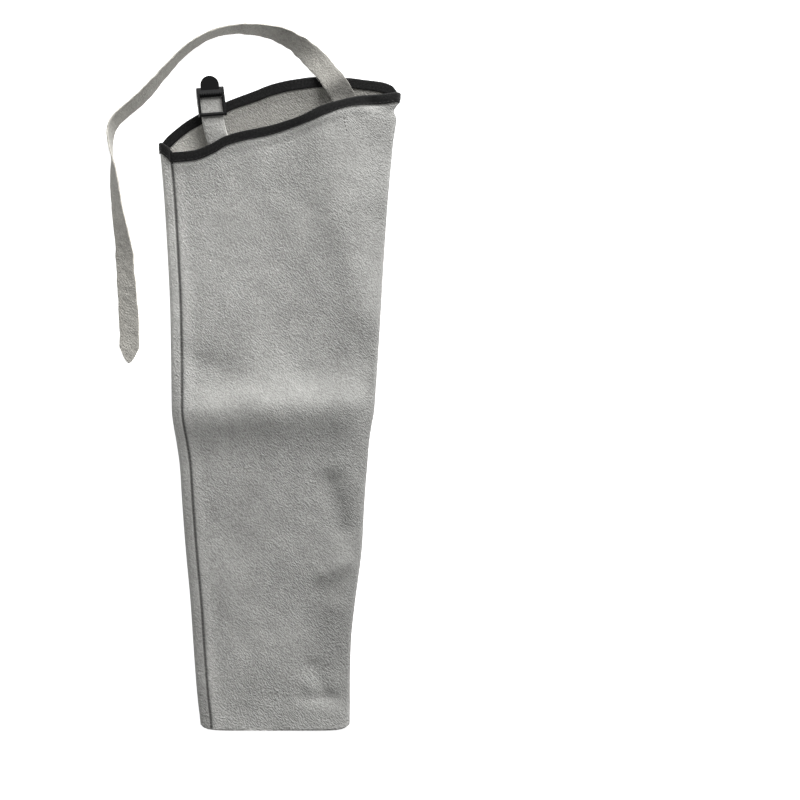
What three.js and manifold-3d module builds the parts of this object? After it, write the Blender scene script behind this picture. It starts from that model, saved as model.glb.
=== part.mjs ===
// Welding sleeve, lying flat: a tapered tube of split leather with a bound mouth, a long leather
// tie strap, and a ladder-lock buckle on a short leather tab.
//
// Millimetres, +Z up. X runs across the sleeve from the sewn side to the folded side, and Y runs
// from the cuff to the mouth. The origin is on the floor, under the middle of the flat underside.

import * as THREE from "three";
import { mergeVertices } from "three/addons/utils/BufferGeometryUtils.js";
import Module from "manifold-3d";

// Sleeve, laid flat
const SLEEVE_LENGTH = 570;
const CUFF_WIDTH = 134;
const MOUTH_WIDTH = 215;
const LEATHER = 1.4;
const SIDE_FOLD_RADIUS = 3.7;
const MOUTH_BOW = 17.6;
const RIM_CURL = 3;
const RIM_CURL_RUN = 60;
const CUFF_CORNER = 5;

// Sewn seam along the side of low X: a raised strip of turned hide with a groove beside it
const SEAM_WIDTH = 9.4;
const SEAM_RAISE = 0.7;
const SEAM_GROOVE = 1.2;
const SEAM_ALLOWANCE = 1.4;

// Folds and dents of the near panel
const FOLD_LIFT = 10;
const FOLD_SPREAD = 25;

// Pinch in the folded side, below the mouth
const PINCH_DEPTH = 4;
const PINCH_SPREAD = 5;
const PINCH_BELOW_MOUTH = 15;

// Binding tape over the rim of the mouth
const TAPE = 0.8;
const TAPE_LEG = 8.2;

// Clearances between pieces that are sewn or pressed together
const GAP = 0.3;
const SEAT_GAP = 0.6;

// Distance over which the slope of the near panel is taken under a piece that is sewn to it
const SEAT_STEP = 4;

// Tie strap, sewn inside the near panel
const STRAP_LENGTH = 520;
const STRAP_WIDTH = 18;
const STRAP_BASE_WIDTH = 20.5;
const STRAP_THICKNESS = 1.6;
const STRAP_INSET = 36;
const STRAP_ACROSS = 0.555;
const STRAP_HEADING = 119;
const STRAP_DESCENT = 70;
const STRAP_TIP = 14.4;
const ARCH_PER_MOUTH = 1.46;

// Tab of folded leather that holds the buckle, also sewn inside the near panel
const TAB_WIDTH = 19.4;
const TAB_INSET = 32;
const TAB_FREE = 23;
const TAB_ACROSS = -0.49;
const TAB_HEADING = 107;
const TAB_TURN = -10;
const TAB_BEND_RUN = 10;
const TAB_EYE_SAG = 0.6;

// Ladder-lock buckle
const BUCKLE_LENGTH = 36;
const BUCKLE_ROLL = 12;
const BUCKLE_TIP_HEIGHT = 13.5;
const RAIL_LENGTH = 26;
const RAIL_WIDTH = 2.3;
const RAIL_EDGE = 0.35;
const SLOT_PLAY = 0.3;
const BAR_LENGTH = 3.5;
const BAR_HEIGHT = 2.5;
const BAR_EDGE = 0.5;
const END_BAR = 3;
const END_BAR_EDGE = 0.7;
const LIP_START = 17.2;
const LIP_RISE = 1;
const LIP_THICKNESS = 3;
const LIP_EDGE = 1.4;
const THUMB_RADIUS = 8.3;
const THUMB_THICKNESS = 2.2;
const THUMB_EDGE = 0.4;
const THUMB_LIFT = 9;
const THUMB_ROOT = 2.5;
const TOOTH_PITCH = 2.2;
const TOOTH_COUNT = 8;
const TOOTH_DEPTH = 1;

// Sections from the cuff to the mouth. along is a share of SLEEVE_LENGTH, spread the share of the
// way from CUFF_WIDTH to MOUTH_WIDTH, drift the middle's place in shares of MOUTH_WIDTH, and bow
// the near panel's arch in shares of MOUTH_BOW.
const SECTIONS = [
  { along: 0.0, spread: 0.0, drift: 0.002, bow: 0.16 },
  { along: 0.044, spread: 0.034, drift: -0.003, bow: 0.17 },
  { along: 0.076, spread: 0.054, drift: -0.007, bow: 0.18 },
  { along: 0.148, spread: 0.106, drift: -0.011, bow: 0.2 },
  { along: 0.2, spread: 0.171, drift: -0.008, bow: 0.21 },
  { along: 0.288, spread: 0.305, drift: -0.004, bow: 0.22 },
  { along: 0.36, spread: 0.371, drift: -0.006, bow: 0.23 },
  { along: 0.414, spread: 0.425, drift: -0.005, bow: 0.24 },
  { along: 0.452, spread: 0.484, drift: -0.008, bow: 0.24 },
  { along: 0.477, spread: 0.54, drift: -0.009, bow: 0.24 },
  { along: 0.502, spread: 0.592, drift: -0.007, bow: 0.24 },
  { along: 0.528, spread: 0.609, drift: -0.005, bow: 0.24 },
  { along: 0.597, spread: 0.648, drift: 0.0, bow: 0.24 },
  { along: 0.676, spread: 0.693, drift: 0.004, bow: 0.26 },
  { along: 0.755, spread: 0.754, drift: 0.005, bow: 0.34 },
  { along: 0.834, spread: 0.827, drift: 0.006, bow: 0.52 },
  { along: 0.913, spread: 0.922, drift: 0.007, bow: 0.78 },
  { along: 1.0, spread: 1.0, drift: 0.022, bow: 1.0 },
];

// Rims of the two panels. across runs from -1 at the sewn side to 1 at the folded side, and
// along is the rim's place in shares of SLEEVE_LENGTH.
const NEAR_RIM = [
  { across: -1.0, along: 0.921 },
  { across: -0.93, along: 0.914 },
  { across: -0.89, along: 0.905 },
  { across: -0.71, along: 0.907 },
  { across: -0.56, along: 0.916 },
  { across: -0.43, along: 0.928 },
  { across: -0.29, along: 0.935 },
  { across: -0.07, along: 0.943 },
  { across: 0.16, along: 0.956 },
  { across: 0.425, along: 0.977 },
  { across: 0.64, along: 0.99 },
  { across: 0.86, along: 0.996 },
  { across: 1.0, along: 1.0 },
];
const FAR_RIM = [
  { across: -1.0, along: 0.921 },
  { across: -0.925, along: 0.933 },
  { across: -0.75, along: 0.958 },
  { across: -0.405, along: 0.989 },
  { across: -0.23, along: 1.0015 },
  { across: -0.055, along: 1.014 },
  { across: 0.115, along: 1.021 },
  { across: 0.32, along: 1.025 },
  { across: 0.576, along: 1.0235 },
  { across: 0.709, along: 1.0205 },
  { across: 0.858, along: 1.017 },
  { across: 0.933, along: 1.012 },
  { across: 1.0, along: 1.0 },
];

// Folds (positive lift) and dents (negative lift) of the near panel, each along a line between two
// places of across and along. lift is in shares of FOLD_LIFT, and toMouth and toCuff are the
// fold's reach to each side of its line in shares of FOLD_SPREAD.
const FOLDS = [
  { name: "half fold", from: [-0.73, 0.499], to: [0.76, 0.51], lift: 0.88, toMouth: 0.77, toCuff: 0.95 },
  { name: "mouth fold", from: [0.36, 0.945], to: [0.88, 0.66], lift: 0.5, toMouth: 1.5, toCuff: 0.85 },
  { name: "middle swell", from: [-0.24, 0.88], to: [-0.3, 0.676], lift: 0.09, toMouth: 1.3, toCuff: 1.3 },
  { name: "seam dent", from: [-0.95, 0.6], to: [-0.45, 0.56], lift: -0.16, toMouth: 0.5, toCuff: 0.5 },
  { name: "pinch valley", from: [1.0, 0.974], to: [0.77, 0.982], lift: -0.25, toMouth: 0.22, toCuff: 0.22 },
  { name: "upper sag", from: [0.3, 0.6], to: [0.3, 0.7], lift: -0.1, toMouth: 1.6, toCuff: 1.6 },
  { name: "lower sag", from: [0.12, 0.1], to: [0.2, 0.42], lift: -0.1, toMouth: 1.6, toCuff: 1.6 },
  { name: "side fold", from: [0.8, 0.455], to: [0.86, 0.202], lift: 0.18, toMouth: 0.7, toCuff: 0.6 },
  { name: "side dent", from: [0.63, 0.385], to: [0.77, 0.315], lift: -0.38, toMouth: 0.45, toCuff: 0.45 },
  { name: "side crease", from: [0.6, 0.248], to: [0.88, 0.262], lift: 0.3, toMouth: 0.4, toCuff: 0.4 },
  { name: "cuff dent", from: [0.53, 0.098], to: [0.7, 0.055], lift: -0.25, toMouth: 0.35, toCuff: 0.35 },
  { name: "cuff crease", from: [0.42, 0.05], to: [0.88, 0.047], lift: -0.15, toMouth: 0.26, toCuff: 0.26 },
  { name: "cuff fold", from: [0.45, 0.075], to: [0.72, 0.068], lift: 0.08, toMouth: 0.4, toCuff: 0.35 },
  { name: "cuff lip", from: [-0.8, -0.02], to: [0.8, -0.02], lift: 0.28, toMouth: 0.8, toCuff: 0.8 },
];

// The strap's route in plan, first over the arch and then down the tail. run is a share of the
// arch's or the tail's length, heading is in degrees from +X towards +Y, and tilt is the bank of
// the strap about its own line: 0 lies flat, 90 stands on its inner edge, 180 lies turned over.
const ARCH_BENDS = [
  { run: 0.0, heading: 118, tilt: 0 },
  { run: 0.025, heading: 120.5, tilt: 18 },
  { run: 0.05, heading: 123, tilt: 20 },
  { run: 0.07, heading: 125, tilt: 17 },
  { run: 0.095, heading: 127.5, tilt: 13 },
  { run: 0.115, heading: 129.5, tilt: 11 },
  { run: 0.137, heading: 132, tilt: 12 },
  { run: 0.165, heading: 136, tilt: 20 },
  { run: 0.205, heading: 142, tilt: 34 },
  { run: 0.24, heading: 151, tilt: 44 },
  { run: 0.275, heading: 160, tilt: 54 },
  { run: 0.31, heading: 168, tilt: 64 },
  { run: 0.38, heading: 180, tilt: 73.5 },
  { run: 0.445, heading: 193, tilt: 80 },
  { run: 0.49, heading: 206, tilt: 82 },
  { run: 0.55, heading: 218, tilt: 80.5 },
  { run: 0.61, heading: 227, tilt: 79 },
  { run: 0.69, heading: 229, tilt: 71 },
  { run: 0.745, heading: 224, tilt: 66 },
  { run: 0.79, heading: 219, tilt: 65 },
  { run: 0.83, heading: 225, tilt: 67 },
  { run: 0.865, heading: 249, tilt: 73 },
  { run: 0.9, heading: 271, tilt: 83 },
  { run: 0.935, heading: 277, tilt: 92 },
  { run: 1.0, heading: 275, tilt: 115 },
];
const TAIL_BENDS = [
  { run: 0.0, heading: 275, tilt: 115 },
  { run: 0.12, heading: 276, tilt: 126 },
  { run: 0.25, heading: 279.5, tilt: 136 },
  { run: 0.33, heading: 279.5, tilt: 145 },
  { run: 0.45, heading: 273, tilt: 160 },
  { run: 0.6, heading: 274, tilt: 167 },
  { run: 0.8, heading: 272, tilt: 177 },
  { run: 1.0, heading: 267, tilt: 180 },
];

// Facets
const SEAM_COLUMNS = [0, 0.06, 0.24, 0.5, 0.8, 0.94, 1.08, 1.28];
const NEAR_COLUMNS = 20;
const FAR_COLUMNS = 14;
const ROW_RUNS = [
  { to: 0.42, rows: 10 },
  { to: 0.6, rows: 11 },
  { to: 0.93, rows: 7 },
];
const RIM_ROWS = [2.9, 2.2, 1.6, 1, 0];
const STRAP_STEPS = 75;
const TAB_SEWN_STEPS = 4;
const TAB_FREE_STEPS = 9;
const EYE_STEPS = 6;
const THUMB_STEPS = 14;

// How square the near panel's arch is: flat-topped down to the cuff and round at the mouth, with the
// change over a run of shares along the sleeve
const FLAT_POWER = 5;
const ROUND_POWER = 2.2;
const ROUNDING_FROM = 0.68;
const ROUNDING_RUN = 0.25;

// How square the far panel's curl is, how fast the folds die out at the sides, and how near the
// sides and the cuff the cut corners keep
const CURL_POWER = 4;
const FOLD_EDGE_POWER = 8;
const CORNER_POWER = 14;
const CORNER_RUN = 0.1;

// The seam's columns: their reach in shares of SEAM_WIDTH, and their share of the stations
const SEAM_REACH = 1.5;
const SEAM_SHARE = 0.25;

// The seam's section in shares of SEAM_WIDTH: where the strip's flank rises and falls, where the
// groove lies and how wide it is, and where the turned-in hide begins and ends
const STRIP = { rise: 0.35, fall: 0.86, foot: 1.0 };
const GROOVE = { middle: 1.08, spread: 0.12 };
const TURNED_IN = { from: 0.25, full: 0.6, until: 1.3, end: 1.5 };

// The rims lift off the floor over this many legs of the tape, and a leg is at most this much longer
// than TAPE_LEG where the rim runs aslant
const TAPE_RUN = 2.2;
const LEG_LIMIT = 1.3;

const radians = THREE.MathUtils.degToRad;
const smooth = (value) => THREE.MathUtils.smoothstep(value, 0, 1);

// Monotone cubic through one column of a table, flat beyond its ends
function curve(rows, at, column) {
  const x = rows.map((row) => row[at]);
  const y = rows.map((row) => row[column]);
  const last = x.length - 1;
  const slope = [];
  for (let i = 0; i < last; i += 1) {
    slope.push((y[i + 1] - y[i]) / (x[i + 1] - x[i]));
  }
  const tangent = x.map((_, i) => {
    if (i === 0 || i === last || slope[i - 1] * slope[i] <= 0) return 0;
    const before = x[i] - x[i - 1];
    const after = x[i + 1] - x[i];
    const first = 2 * after + before;
    const second = after + 2 * before;
    return (first + second) / (first / slope[i - 1] + second / slope[i]);
  });
  return (value) => {
    const v = THREE.MathUtils.clamp(value, x[0], x[last]);
    let i = 0;
    while (i < last - 1 && v > x[i + 1]) i += 1;
    const h = x[i + 1] - x[i];
    const t = (v - x[i]) / h;
    const rise = t * t * (3 - 2 * t);
    const start = t * (1 - t) * (1 - t);
    const end = t * t * (t - 1);
    return y[i] + (y[i + 1] - y[i]) * rise + h * (tangent[i] * start + tangent[i + 1] * end);
  };
}

const spreadAt = curve(SECTIONS, "along", "spread");
const driftAt = curve(SECTIONS, "along", "drift");
const bowAt = curve(SECTIONS, "along", "bow");
const nearRimAt = curve(NEAR_RIM, "across", "along");
const farRimAt = curve(FAR_RIM, "across", "along");

const CUFF_END = -SLEEVE_LENGTH / 2;
const MOUTH_END = SLEEVE_LENGTH / 2;

const toY = (along) => CUFF_END + along * SLEEVE_LENGTH;
const toAlong = (y) => (y - CUFF_END) / SLEEVE_LENGTH;

// The flat outline at one place along the sleeve
function outline(y) {
  const along = toAlong(y);
  const width = THREE.MathUtils.lerp(CUFF_WIDTH, MOUTH_WIDTH, spreadAt(along));
  const middle = driftAt(along) * MOUTH_WIDTH;
  const fromPinch = (y - (MOUTH_END - PINCH_BELOW_MOUTH)) / PINCH_SPREAD;
  const pinch = PINCH_DEPTH * Math.exp(-fromPinch * fromPinch);
  return { left: middle - width / 2, right: middle + width / 2 - pinch, middle, half: width / 2 };
}

// What the folds and dents add to the near panel at one place
function foldLift(across, y, half) {
  let lift = 0;
  for (const fold of FOLDS) {
    const from = new THREE.Vector2(fold.from[0] * half, toY(fold.from[1]));
    const to = new THREE.Vector2(fold.to[0] * half, toY(fold.to[1]));
    const line = to.clone().sub(from);
    const mouthward = new THREE.Vector2(-line.y, line.x).multiplyScalar(Math.sign(line.x)).normalize();
    const place = new THREE.Vector2(across * half, y);
    const share = THREE.MathUtils.clamp(place.clone().sub(from).dot(line) / line.lengthSq(), 0, 1);
    const nearest = from.clone().addScaledVector(line, share);
    const offset = place.clone().sub(nearest);
    const side = (1 + offset.clone().normalize().dot(mouthward)) / 2;
    const reach = FOLD_SPREAD * THREE.MathUtils.lerp(fold.toCuff, fold.toMouth, side);
    const away = offset.length() / reach;
    lift += fold.lift * FOLD_LIFT * Math.exp(-away * away);
  }
  return lift;
}

// Height that the round of a side fold adds, from its tangent point to the panel
function sideRound(fromEdge) {
  const inward = THREE.MathUtils.clamp(fromEdge, 0, SIDE_FOLD_RADIUS);
  return Math.sqrt(inward * (2 * SIDE_FOLD_RADIUS - inward));
}

// Height that the rim of either panel gains, so that the tape under it clears the floor
function tapeRise(y, rim) {
  return (TAPE + GAP) * smooth((y - rim) / TAPE_LEG + TAPE_RUN);
}

// Height of the near panel's outer face, without the relief of the seam
function nearPanel(x, y) {
  const { left, right, middle, half } = outline(y);
  const across = THREE.MathUtils.clamp((x - middle) / half, -1, 1);
  const reach = Math.abs(across);
  const along = toAlong(y);
  const rounding = smooth((along - ROUNDING_FROM) / ROUNDING_RUN);
  const power = THREE.MathUtils.lerp(FLAT_POWER, ROUND_POWER, rounding);
  const arch = bowAt(along) * MOUTH_BOW * (1 - reach ** power);
  const folds = foldLift(across, y, half) * (1 - reach ** FOLD_EDGE_POWER);
  const round = sideRound(Math.min(x - left, right - x));
  return SIDE_FOLD_RADIUS + round + arch + folds + tapeRise(y, toY(nearRimAt(across)));
}

// The raised strip of the seam and the groove beside it
function seamRelief(x, y) {
  const strip = (x - outline(y).left) / SEAM_WIDTH;
  const falling = smooth((strip - STRIP.fall) / (STRIP.foot - STRIP.fall));
  const raise = SEAM_RAISE * smooth(strip / STRIP.rise) * (1 - falling);
  return raise - SEAM_GROOVE * Math.exp(-(((strip - GROOVE.middle) / GROOVE.spread) ** 2));
}

// Height of the far panel's outer face, which lies on the floor up to the curl at its rim
function farPanel(x, y) {
  const { left, right, middle, half } = outline(y);
  const across = THREE.MathUtils.clamp((x - middle) / half, -1, 1);
  const rim = toY(farRimAt(across));
  const curl = Math.max(0, (y - rim) / RIM_CURL_RUN + 1) ** 2;
  const lift = RIM_CURL * curl * (1 - Math.abs(across) ** CURL_POWER) + tapeRise(y, rim);
  return SIDE_FOLD_RADIUS - sideRound(Math.min(x - left, right - x)) + lift;
}

// Depth of the wall: one hide, and two where the seam's allowance is turned in
function wallAt(station, y) {
  const { left } = outline(y);
  if (station >= 1) return LEATHER;
  const strip = (stationX(station, y) - left) / SEAM_WIDTH;
  const growing = smooth((strip - TURNED_IN.from) / (TURNED_IN.full - TURNED_IN.from));
  const ending = smooth((strip - TURNED_IN.until) / (TURNED_IN.end - TURNED_IN.until));
  return LEATHER + SEAM_ALLOWANCE * growing * (1 - ending);
}

// A station goes round the sleeve from 0 at the sewn side over the near panel to 1 at the folded
// side, and back under the far panel to 2.
function fromSewnSide(station, width) {
  if (station >= 1) return (width * (1 - Math.cos(Math.PI * (2 - station)))) / 2;
  const zone = SEAM_REACH * SEAM_WIDTH;
  if (station < SEAM_SHARE) return zone * (station / SEAM_SHARE) ** 2;
  const share = (station - SEAM_SHARE) / (1 - SEAM_SHARE);
  return zone + (width - zone) * Math.sin((Math.PI / 2) * share);
}

function stationX(station, y) {
  const { left, right } = outline(y);
  return left + fromSewnSide(station, right - left);
}

function rimY(station) {
  const across = (2 * fromSewnSide(station, MOUTH_WIDTH)) / MOUTH_WIDTH - 1;
  return toY(station < 1 ? nearRimAt(across) : farRimAt(across));
}

// A point of the sleeve's wall, depth inside its outer face. The offset is made in the plane
// across the sleeve, and the seam's relief shows on the outside alone.
function wallPoint(station, y, depth) {
  const around = (value) => {
    const s = (value + 2) % 2;
    const x = stationX(s, y);
    return new THREE.Vector2(x, s < 1 ? nearPanel(x, y) : farPanel(x, y));
  };
  const step = 0.002;
  const tangent = around(station + step).sub(around(station - step)).normalize();
  const place = around(station);
  const relief = depth <= 0 && station < 1 ? seamRelief(place.x, y) : 0;
  return new THREE.Vector3(place.x + tangent.y * depth, y, place.y - tangent.x * depth + relief);
}

// The columns round the sleeve, closer together at the seam and at the side folds
function columns() {
  const stations = SEAM_COLUMNS.map((share) => SEAM_SHARE * Math.sqrt(share / SEAM_REACH));
  for (let i = 0; i < NEAR_COLUMNS; i += 1) {
    stations.push(SEAM_SHARE + ((1 - SEAM_SHARE) * i) / NEAR_COLUMNS);
  }
  for (let i = 0; i < FAR_COLUMNS; i += 1) {
    stations.push(1 + (1 - Math.cos((Math.PI * i) / FAR_COLUMNS)) / 2);
  }
  return stations;
}

// The rows along the sleeve, each a function from a station to its place. They stand closer together
// at the half fold and at the mouth, where one follows the edge of the tape.
function rows() {
  const shares = [0];
  for (const run of ROW_RUNS) {
    const from = shares[shares.length - 1];
    for (let i = 1; i <= run.rows; i += 1) {
      shares.push(from + ((run.to - from) * i) / run.rows);
    }
  }
  const byShare = shares.map((share) => (station) => rowY(share, station));
  const byRim = RIM_ROWS.map((legs) => (station) => rimY(station) - legs * legDrop(station));
  return [...byShare, ...byRim];
}

// Place along the sleeve of one row at one station: square to the sleeve as far as its middle, and
// leaning over from there to follow the rim. The cuff's corners are cut a little short.
function rowY(share, station) {
  const across = Math.abs((2 * fromSewnSide(station, CUFF_WIDTH)) / CUFF_WIDTH - 1);
  const corner = CUFF_CORNER * across ** CORNER_POWER * Math.max(0, 1 - share / CORNER_RUN) ** 2;
  const lean = smooth((share - 0.5) * 2) * (rimY(station) - MOUTH_END);
  return toY(share) + lean + corner;
}

// One closed surface through a list of closed rings, joined end to end or capped
function skin(rings, joined) {
  const count = rings[0].length;
  const index = [];
  const spans = joined ? rings.length : rings.length - 1;
  for (let i = 0; i < spans; i += 1) {
    const here = i * count;
    const next = ((i + 1) % rings.length) * count;
    for (let j = 0; j < count; j += 1) {
      const k = (j + 1) % count;
      index.push(here + j, here + k, next + k, here + j, next + k, next + j);
    }
  }
  if (!joined) {
    const end = (rings.length - 1) * count;
    for (let j = 1; j < count - 1; j += 1) {
      index.push(0, j + 1, j, end, end + j, end + j + 1);
    }
  }
  const geometry = new THREE.BufferGeometry().setFromPoints(rings.flat());
  geometry.setIndex(index);
  if (signedVolume(geometry) < 0) geometry.setIndex(index.reverse());
  geometry.computeVertexNormals();
  return geometry;
}

function signedVolume(geometry) {
  const { position } = geometry.attributes;
  const corner = (i) => new THREE.Vector3().fromBufferAttribute(position, geometry.index.getX(i));
  let volume = 0;
  for (let i = 0; i < geometry.index.count; i += 3) {
    volume += corner(i).dot(corner(i + 1).cross(corner(i + 2))) / 6;
  }
  return volume;
}

function mesh(name, geometry, color, roughness, metalness = 0) {
  const material = new THREE.MeshStandardMaterial({ color, roughness, metalness });
  const piece = new THREE.Mesh(geometry, material);
  piece.name = name;
  return piece;
}

const SUEDE = 0xa5a4a0;
const TAPE_BLACK = 0x292929;
const PLASTIC_BLACK = 0x1b1b1c;

function sleeveBody() {
  const ring = (row, inner) =>
    columns().map((station) => {
      const y = row(station);
      return wallPoint(station, y, inner ? wallAt(station, y) : 0);
    });
  const outside = rows().map((row) => ring(row, false));
  const inside = rows().map((row) => ring(row, true)).reverse();
  return mesh("sleeve_body", skin([...outside, ...inside], true), SUEDE, 0.95);
}

// Length along the sleeve that a leg of the tape takes, longer where the rim runs aslant
function legDrop(station) {
  const step = 0.01;
  const ahead = wallPoint((station + step) % 2, rimY((station + step) % 2), 0);
  const behind = wallPoint((station + 2 - step) % 2, rimY((station + 2 - step) % 2), 0);
  const run = Math.hypot(ahead.x - behind.x, ahead.z - behind.z);
  return TAPE_LEG * Math.min(LEG_LIMIT, Math.hypot(1, (ahead.y - behind.y) / run));
}

function mouthBinding() {
  const outer = -GAP - TAPE;
  const profile = [
    { leg: 0, past: GAP, depth: -GAP, wall: 0 },
    { leg: 0, past: GAP, depth: GAP, wall: 1 },
    { leg: 1, past: 0, depth: GAP, wall: 1 },
    { leg: 1, past: 0, depth: -outer, wall: 1 },
    { leg: 0, past: 0, depth: -outer, wall: 1 },
    { leg: 0, past: GAP + TAPE, depth: GAP / 2, wall: 1 },
    { leg: 0, past: GAP + TAPE, depth: -GAP / 2, wall: 0 },
    { leg: 0, past: 0, depth: outer, wall: 0 },
    { leg: 1, past: 0, depth: outer, wall: 0 },
    { leg: 1, past: 0, depth: -GAP, wall: 0 },
  ];
  const rings = profile.map((corner) =>
    columns().map((station) => {
      const rim = rimY(station);
      const y = rim + corner.past - corner.leg * legDrop(station);
      const point = wallPoint(station, Math.min(y, rim), corner.depth + corner.wall * wallAt(station, y));
      point.y = y;
      return point;
    }),
  );
  return mesh("mouth_binding", skin(rings, true), TAPE_BLACK, 0.85);
}

// How a flat piece lies against the inside of the near panel: its height, and the panel's rise per
// millimetre along and across the piece's heading
function panelSeat(place, heading, depth) {
  const along = new THREE.Vector2(Math.cos(heading), Math.sin(heading));
  const right = new THREE.Vector2(along.y, -along.x);
  const height = (direction, distance) =>
    nearPanel(place.x + direction.x * distance, place.y + direction.y * distance);
  return {
    height: nearPanel(place.x, place.y) - depth,
    along: (height(along, 0) - height(along, -2 * SEAT_STEP)) / (2 * SEAT_STEP),
    right: (height(right, SEAT_STEP) - height(right, -SEAT_STEP)) / (2 * SEAT_STEP),
  };
}

// Place in plan where a piece sewn inside the near panel crosses the rim
function rimPlace(across) {
  const y = toY(nearRimAt(across));
  const { middle, half } = outline(y);
  return new THREE.Vector2(middle + across * half, y);
}

const SEWN_DEPTH = LEATHER + GAP + TAPE + SEAT_GAP;

// Frame of a flat ribbon from its heading, pitch and bank: along it, across it to its right, and up
function ribbonFrame(heading, pitch, bank) {
  const along = new THREE.Vector3(
    Math.cos(heading) * Math.cos(pitch),
    Math.sin(heading) * Math.cos(pitch),
    Math.sin(pitch),
  );
  const level = new THREE.Vector3(Math.sin(heading), -Math.cos(heading), 0);
  const right = level.applyAxisAngle(along, -bank);
  const up = new THREE.Vector3().crossVectors(right, along);
  return { along, right, up };
}

// The strap's centre, frame and width at each step from its sewn end to its tip
function strapRoute() {
  const arch = ARCH_PER_MOUTH * MOUTH_WIDTH;
  const tail = STRAP_LENGTH - STRAP_INSET - arch;
  const archHeading = curve(ARCH_BENDS, "run", "heading");
  const archTilt = curve(ARCH_BENDS, "run", "tilt");
  const tailHeading = curve(TAIL_BENDS, "run", "heading");
  const tailTilt = curve(TAIL_BENDS, "run", "tilt");
  const headingAt = (s) => (s < arch ? archHeading(s / arch) : tailHeading((s - arch) / tail));
  const tiltAt = (s) => (s < arch ? archTilt(s / arch) : tailTilt((s - arch) / tail));
  const rim = rimPlace(STRAP_ACROSS);
  const inward = radians(STRAP_HEADING);
  const depth = SEWN_DEPTH + STRAP_THICKNESS / 2;
  const rimSeat = panelSeat(rim, inward, depth);
  const step = STRAP_LENGTH / STRAP_STEPS;
  const route = [];
  let place = rim.clone();
  let before = 0;
  for (let i = 0; i <= STRAP_STEPS; i += 1) {
    const s = i * step - STRAP_INSET;
    const width = THREE.MathUtils.lerp(STRAP_BASE_WIDTH, STRAP_WIDTH, smooth((i * step) / arch));
    if (s <= 0) {
      const inside = new THREE.Vector2(rim.x + s * Math.cos(inward), rim.y + s * Math.sin(inward));
      const seat = panelSeat(inside, inward, depth);
      const frame = ribbonFrame(inward, Math.atan(seat.along), Math.atan(seat.right));
      route.push({ centre: new THREE.Vector3(inside.x, inside.y, seat.height), frame, width });
      continue;
    }
    const heading = radians(headingAt((s + before) / 2));
    place.x += (s - before) * Math.cos(heading);
    place.y += (s - before) * Math.sin(heading);
    before = s;
    const held = 1 - smooth(s / STRAP_DESCENT);
    const tilt = radians(tiltAt(s)) + held * Math.atan(rimSeat.right);
    const onFloor = (width / 2) * Math.sin(tilt) + (STRAP_THICKNESS / 2) * Math.abs(Math.cos(tilt));
    const height = THREE.MathUtils.lerp(Math.abs(onFloor), rimSeat.height, held);
    const frame = ribbonFrame(radians(headingAt(s)), 0, tilt);
    route.push({ centre: new THREE.Vector3(place.x, place.y, height), frame, width });
  }
  return route;
}

function longStrap() {
  const route = strapRoute();
  const step = STRAP_LENGTH / STRAP_STEPS;
  const rings = route.map(({ centre, frame, width }, i) => {
    const fromTip = (route.length - 1 - i) * step;
    const point = Math.max(0.08, Math.min(1, fromTip / STRAP_TIP) ** 0.6);
    const half = (width / 2) * point;
    return ribbonSection(centre, frame.right, frame.up, half, STRAP_THICKNESS / 2);
  });
  return mesh("long_strap", skin(rings, false), SUEDE, 0.95);
}

function ribbonSection(centre, right, up, half, halfThickness) {
  const corners = [
    [-half, -halfThickness],
    [half, -halfThickness],
    [half, halfThickness],
    [-half, halfThickness],
  ];
  return corners.map(([r, u]) => centre.clone().addScaledVector(right, r).addScaledVector(up, u));
}

// The tab's own line from the rim: inside, it follows the near panel, and outside it runs down over
// the far rim and rolls towards the folded side.
function tabFrames() {
  const rim = rimPlace(TAB_ACROSS);
  const inward = radians(TAB_HEADING);
  const rimSeat = panelSeat(rim, inward, SEWN_DEPTH);
  const reach = TAB_FREE + BUCKLE_LENGTH - TAB_BEND_RUN / 2;
  const fall = -Math.asin((rimSeat.height - BUCKLE_TIP_HEIGHT) / reach);
  const steps = 20;
  const free = [];
  const place = new THREE.Vector3(rim.x, rim.y, rimSeat.height);
  for (let i = 0; i <= steps; i += 1) {
    const v = (i * TAB_FREE) / steps;
    const heading = radians(TAB_HEADING + TAB_TURN * smooth(v / TAB_FREE));
    const pitch = THREE.MathUtils.lerp(Math.atan(rimSeat.along), fall, smooth(v / TAB_BEND_RUN));
    const bank = THREE.MathUtils.lerp(Math.atan(rimSeat.right), -radians(BUCKLE_ROLL), smooth(v / TAB_FREE));
    const frame = ribbonFrame(heading, pitch, bank);
    if (i > 0) place.addScaledVector(frame.along, TAB_FREE / steps);
    free.push({ v, place: place.clone(), frame });
  }
  return (v) => {
    if (v <= 0) {
      const inside = new THREE.Vector2(rim.x + v * Math.cos(inward), rim.y + v * Math.sin(inward));
      const seat = panelSeat(inside, inward, SEWN_DEPTH);
      const frame = ribbonFrame(inward, Math.atan(seat.along), Math.atan(seat.right));
      return { place: new THREE.Vector3(inside.x, inside.y, seat.height), frame };
    }
    const i = Math.min(steps, Math.round((v / TAB_FREE) * steps));
    const { place: at, frame } = free[i];
    return { place: at.clone().addScaledVector(frame.along, v - free[i].v), frame };
  };
}

const BAR_MIDDLE = LIP_START - BAR_LENGTH / 2;
const EYE_HALF = BAR_HEIGHT / 2 + GAP;

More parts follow.
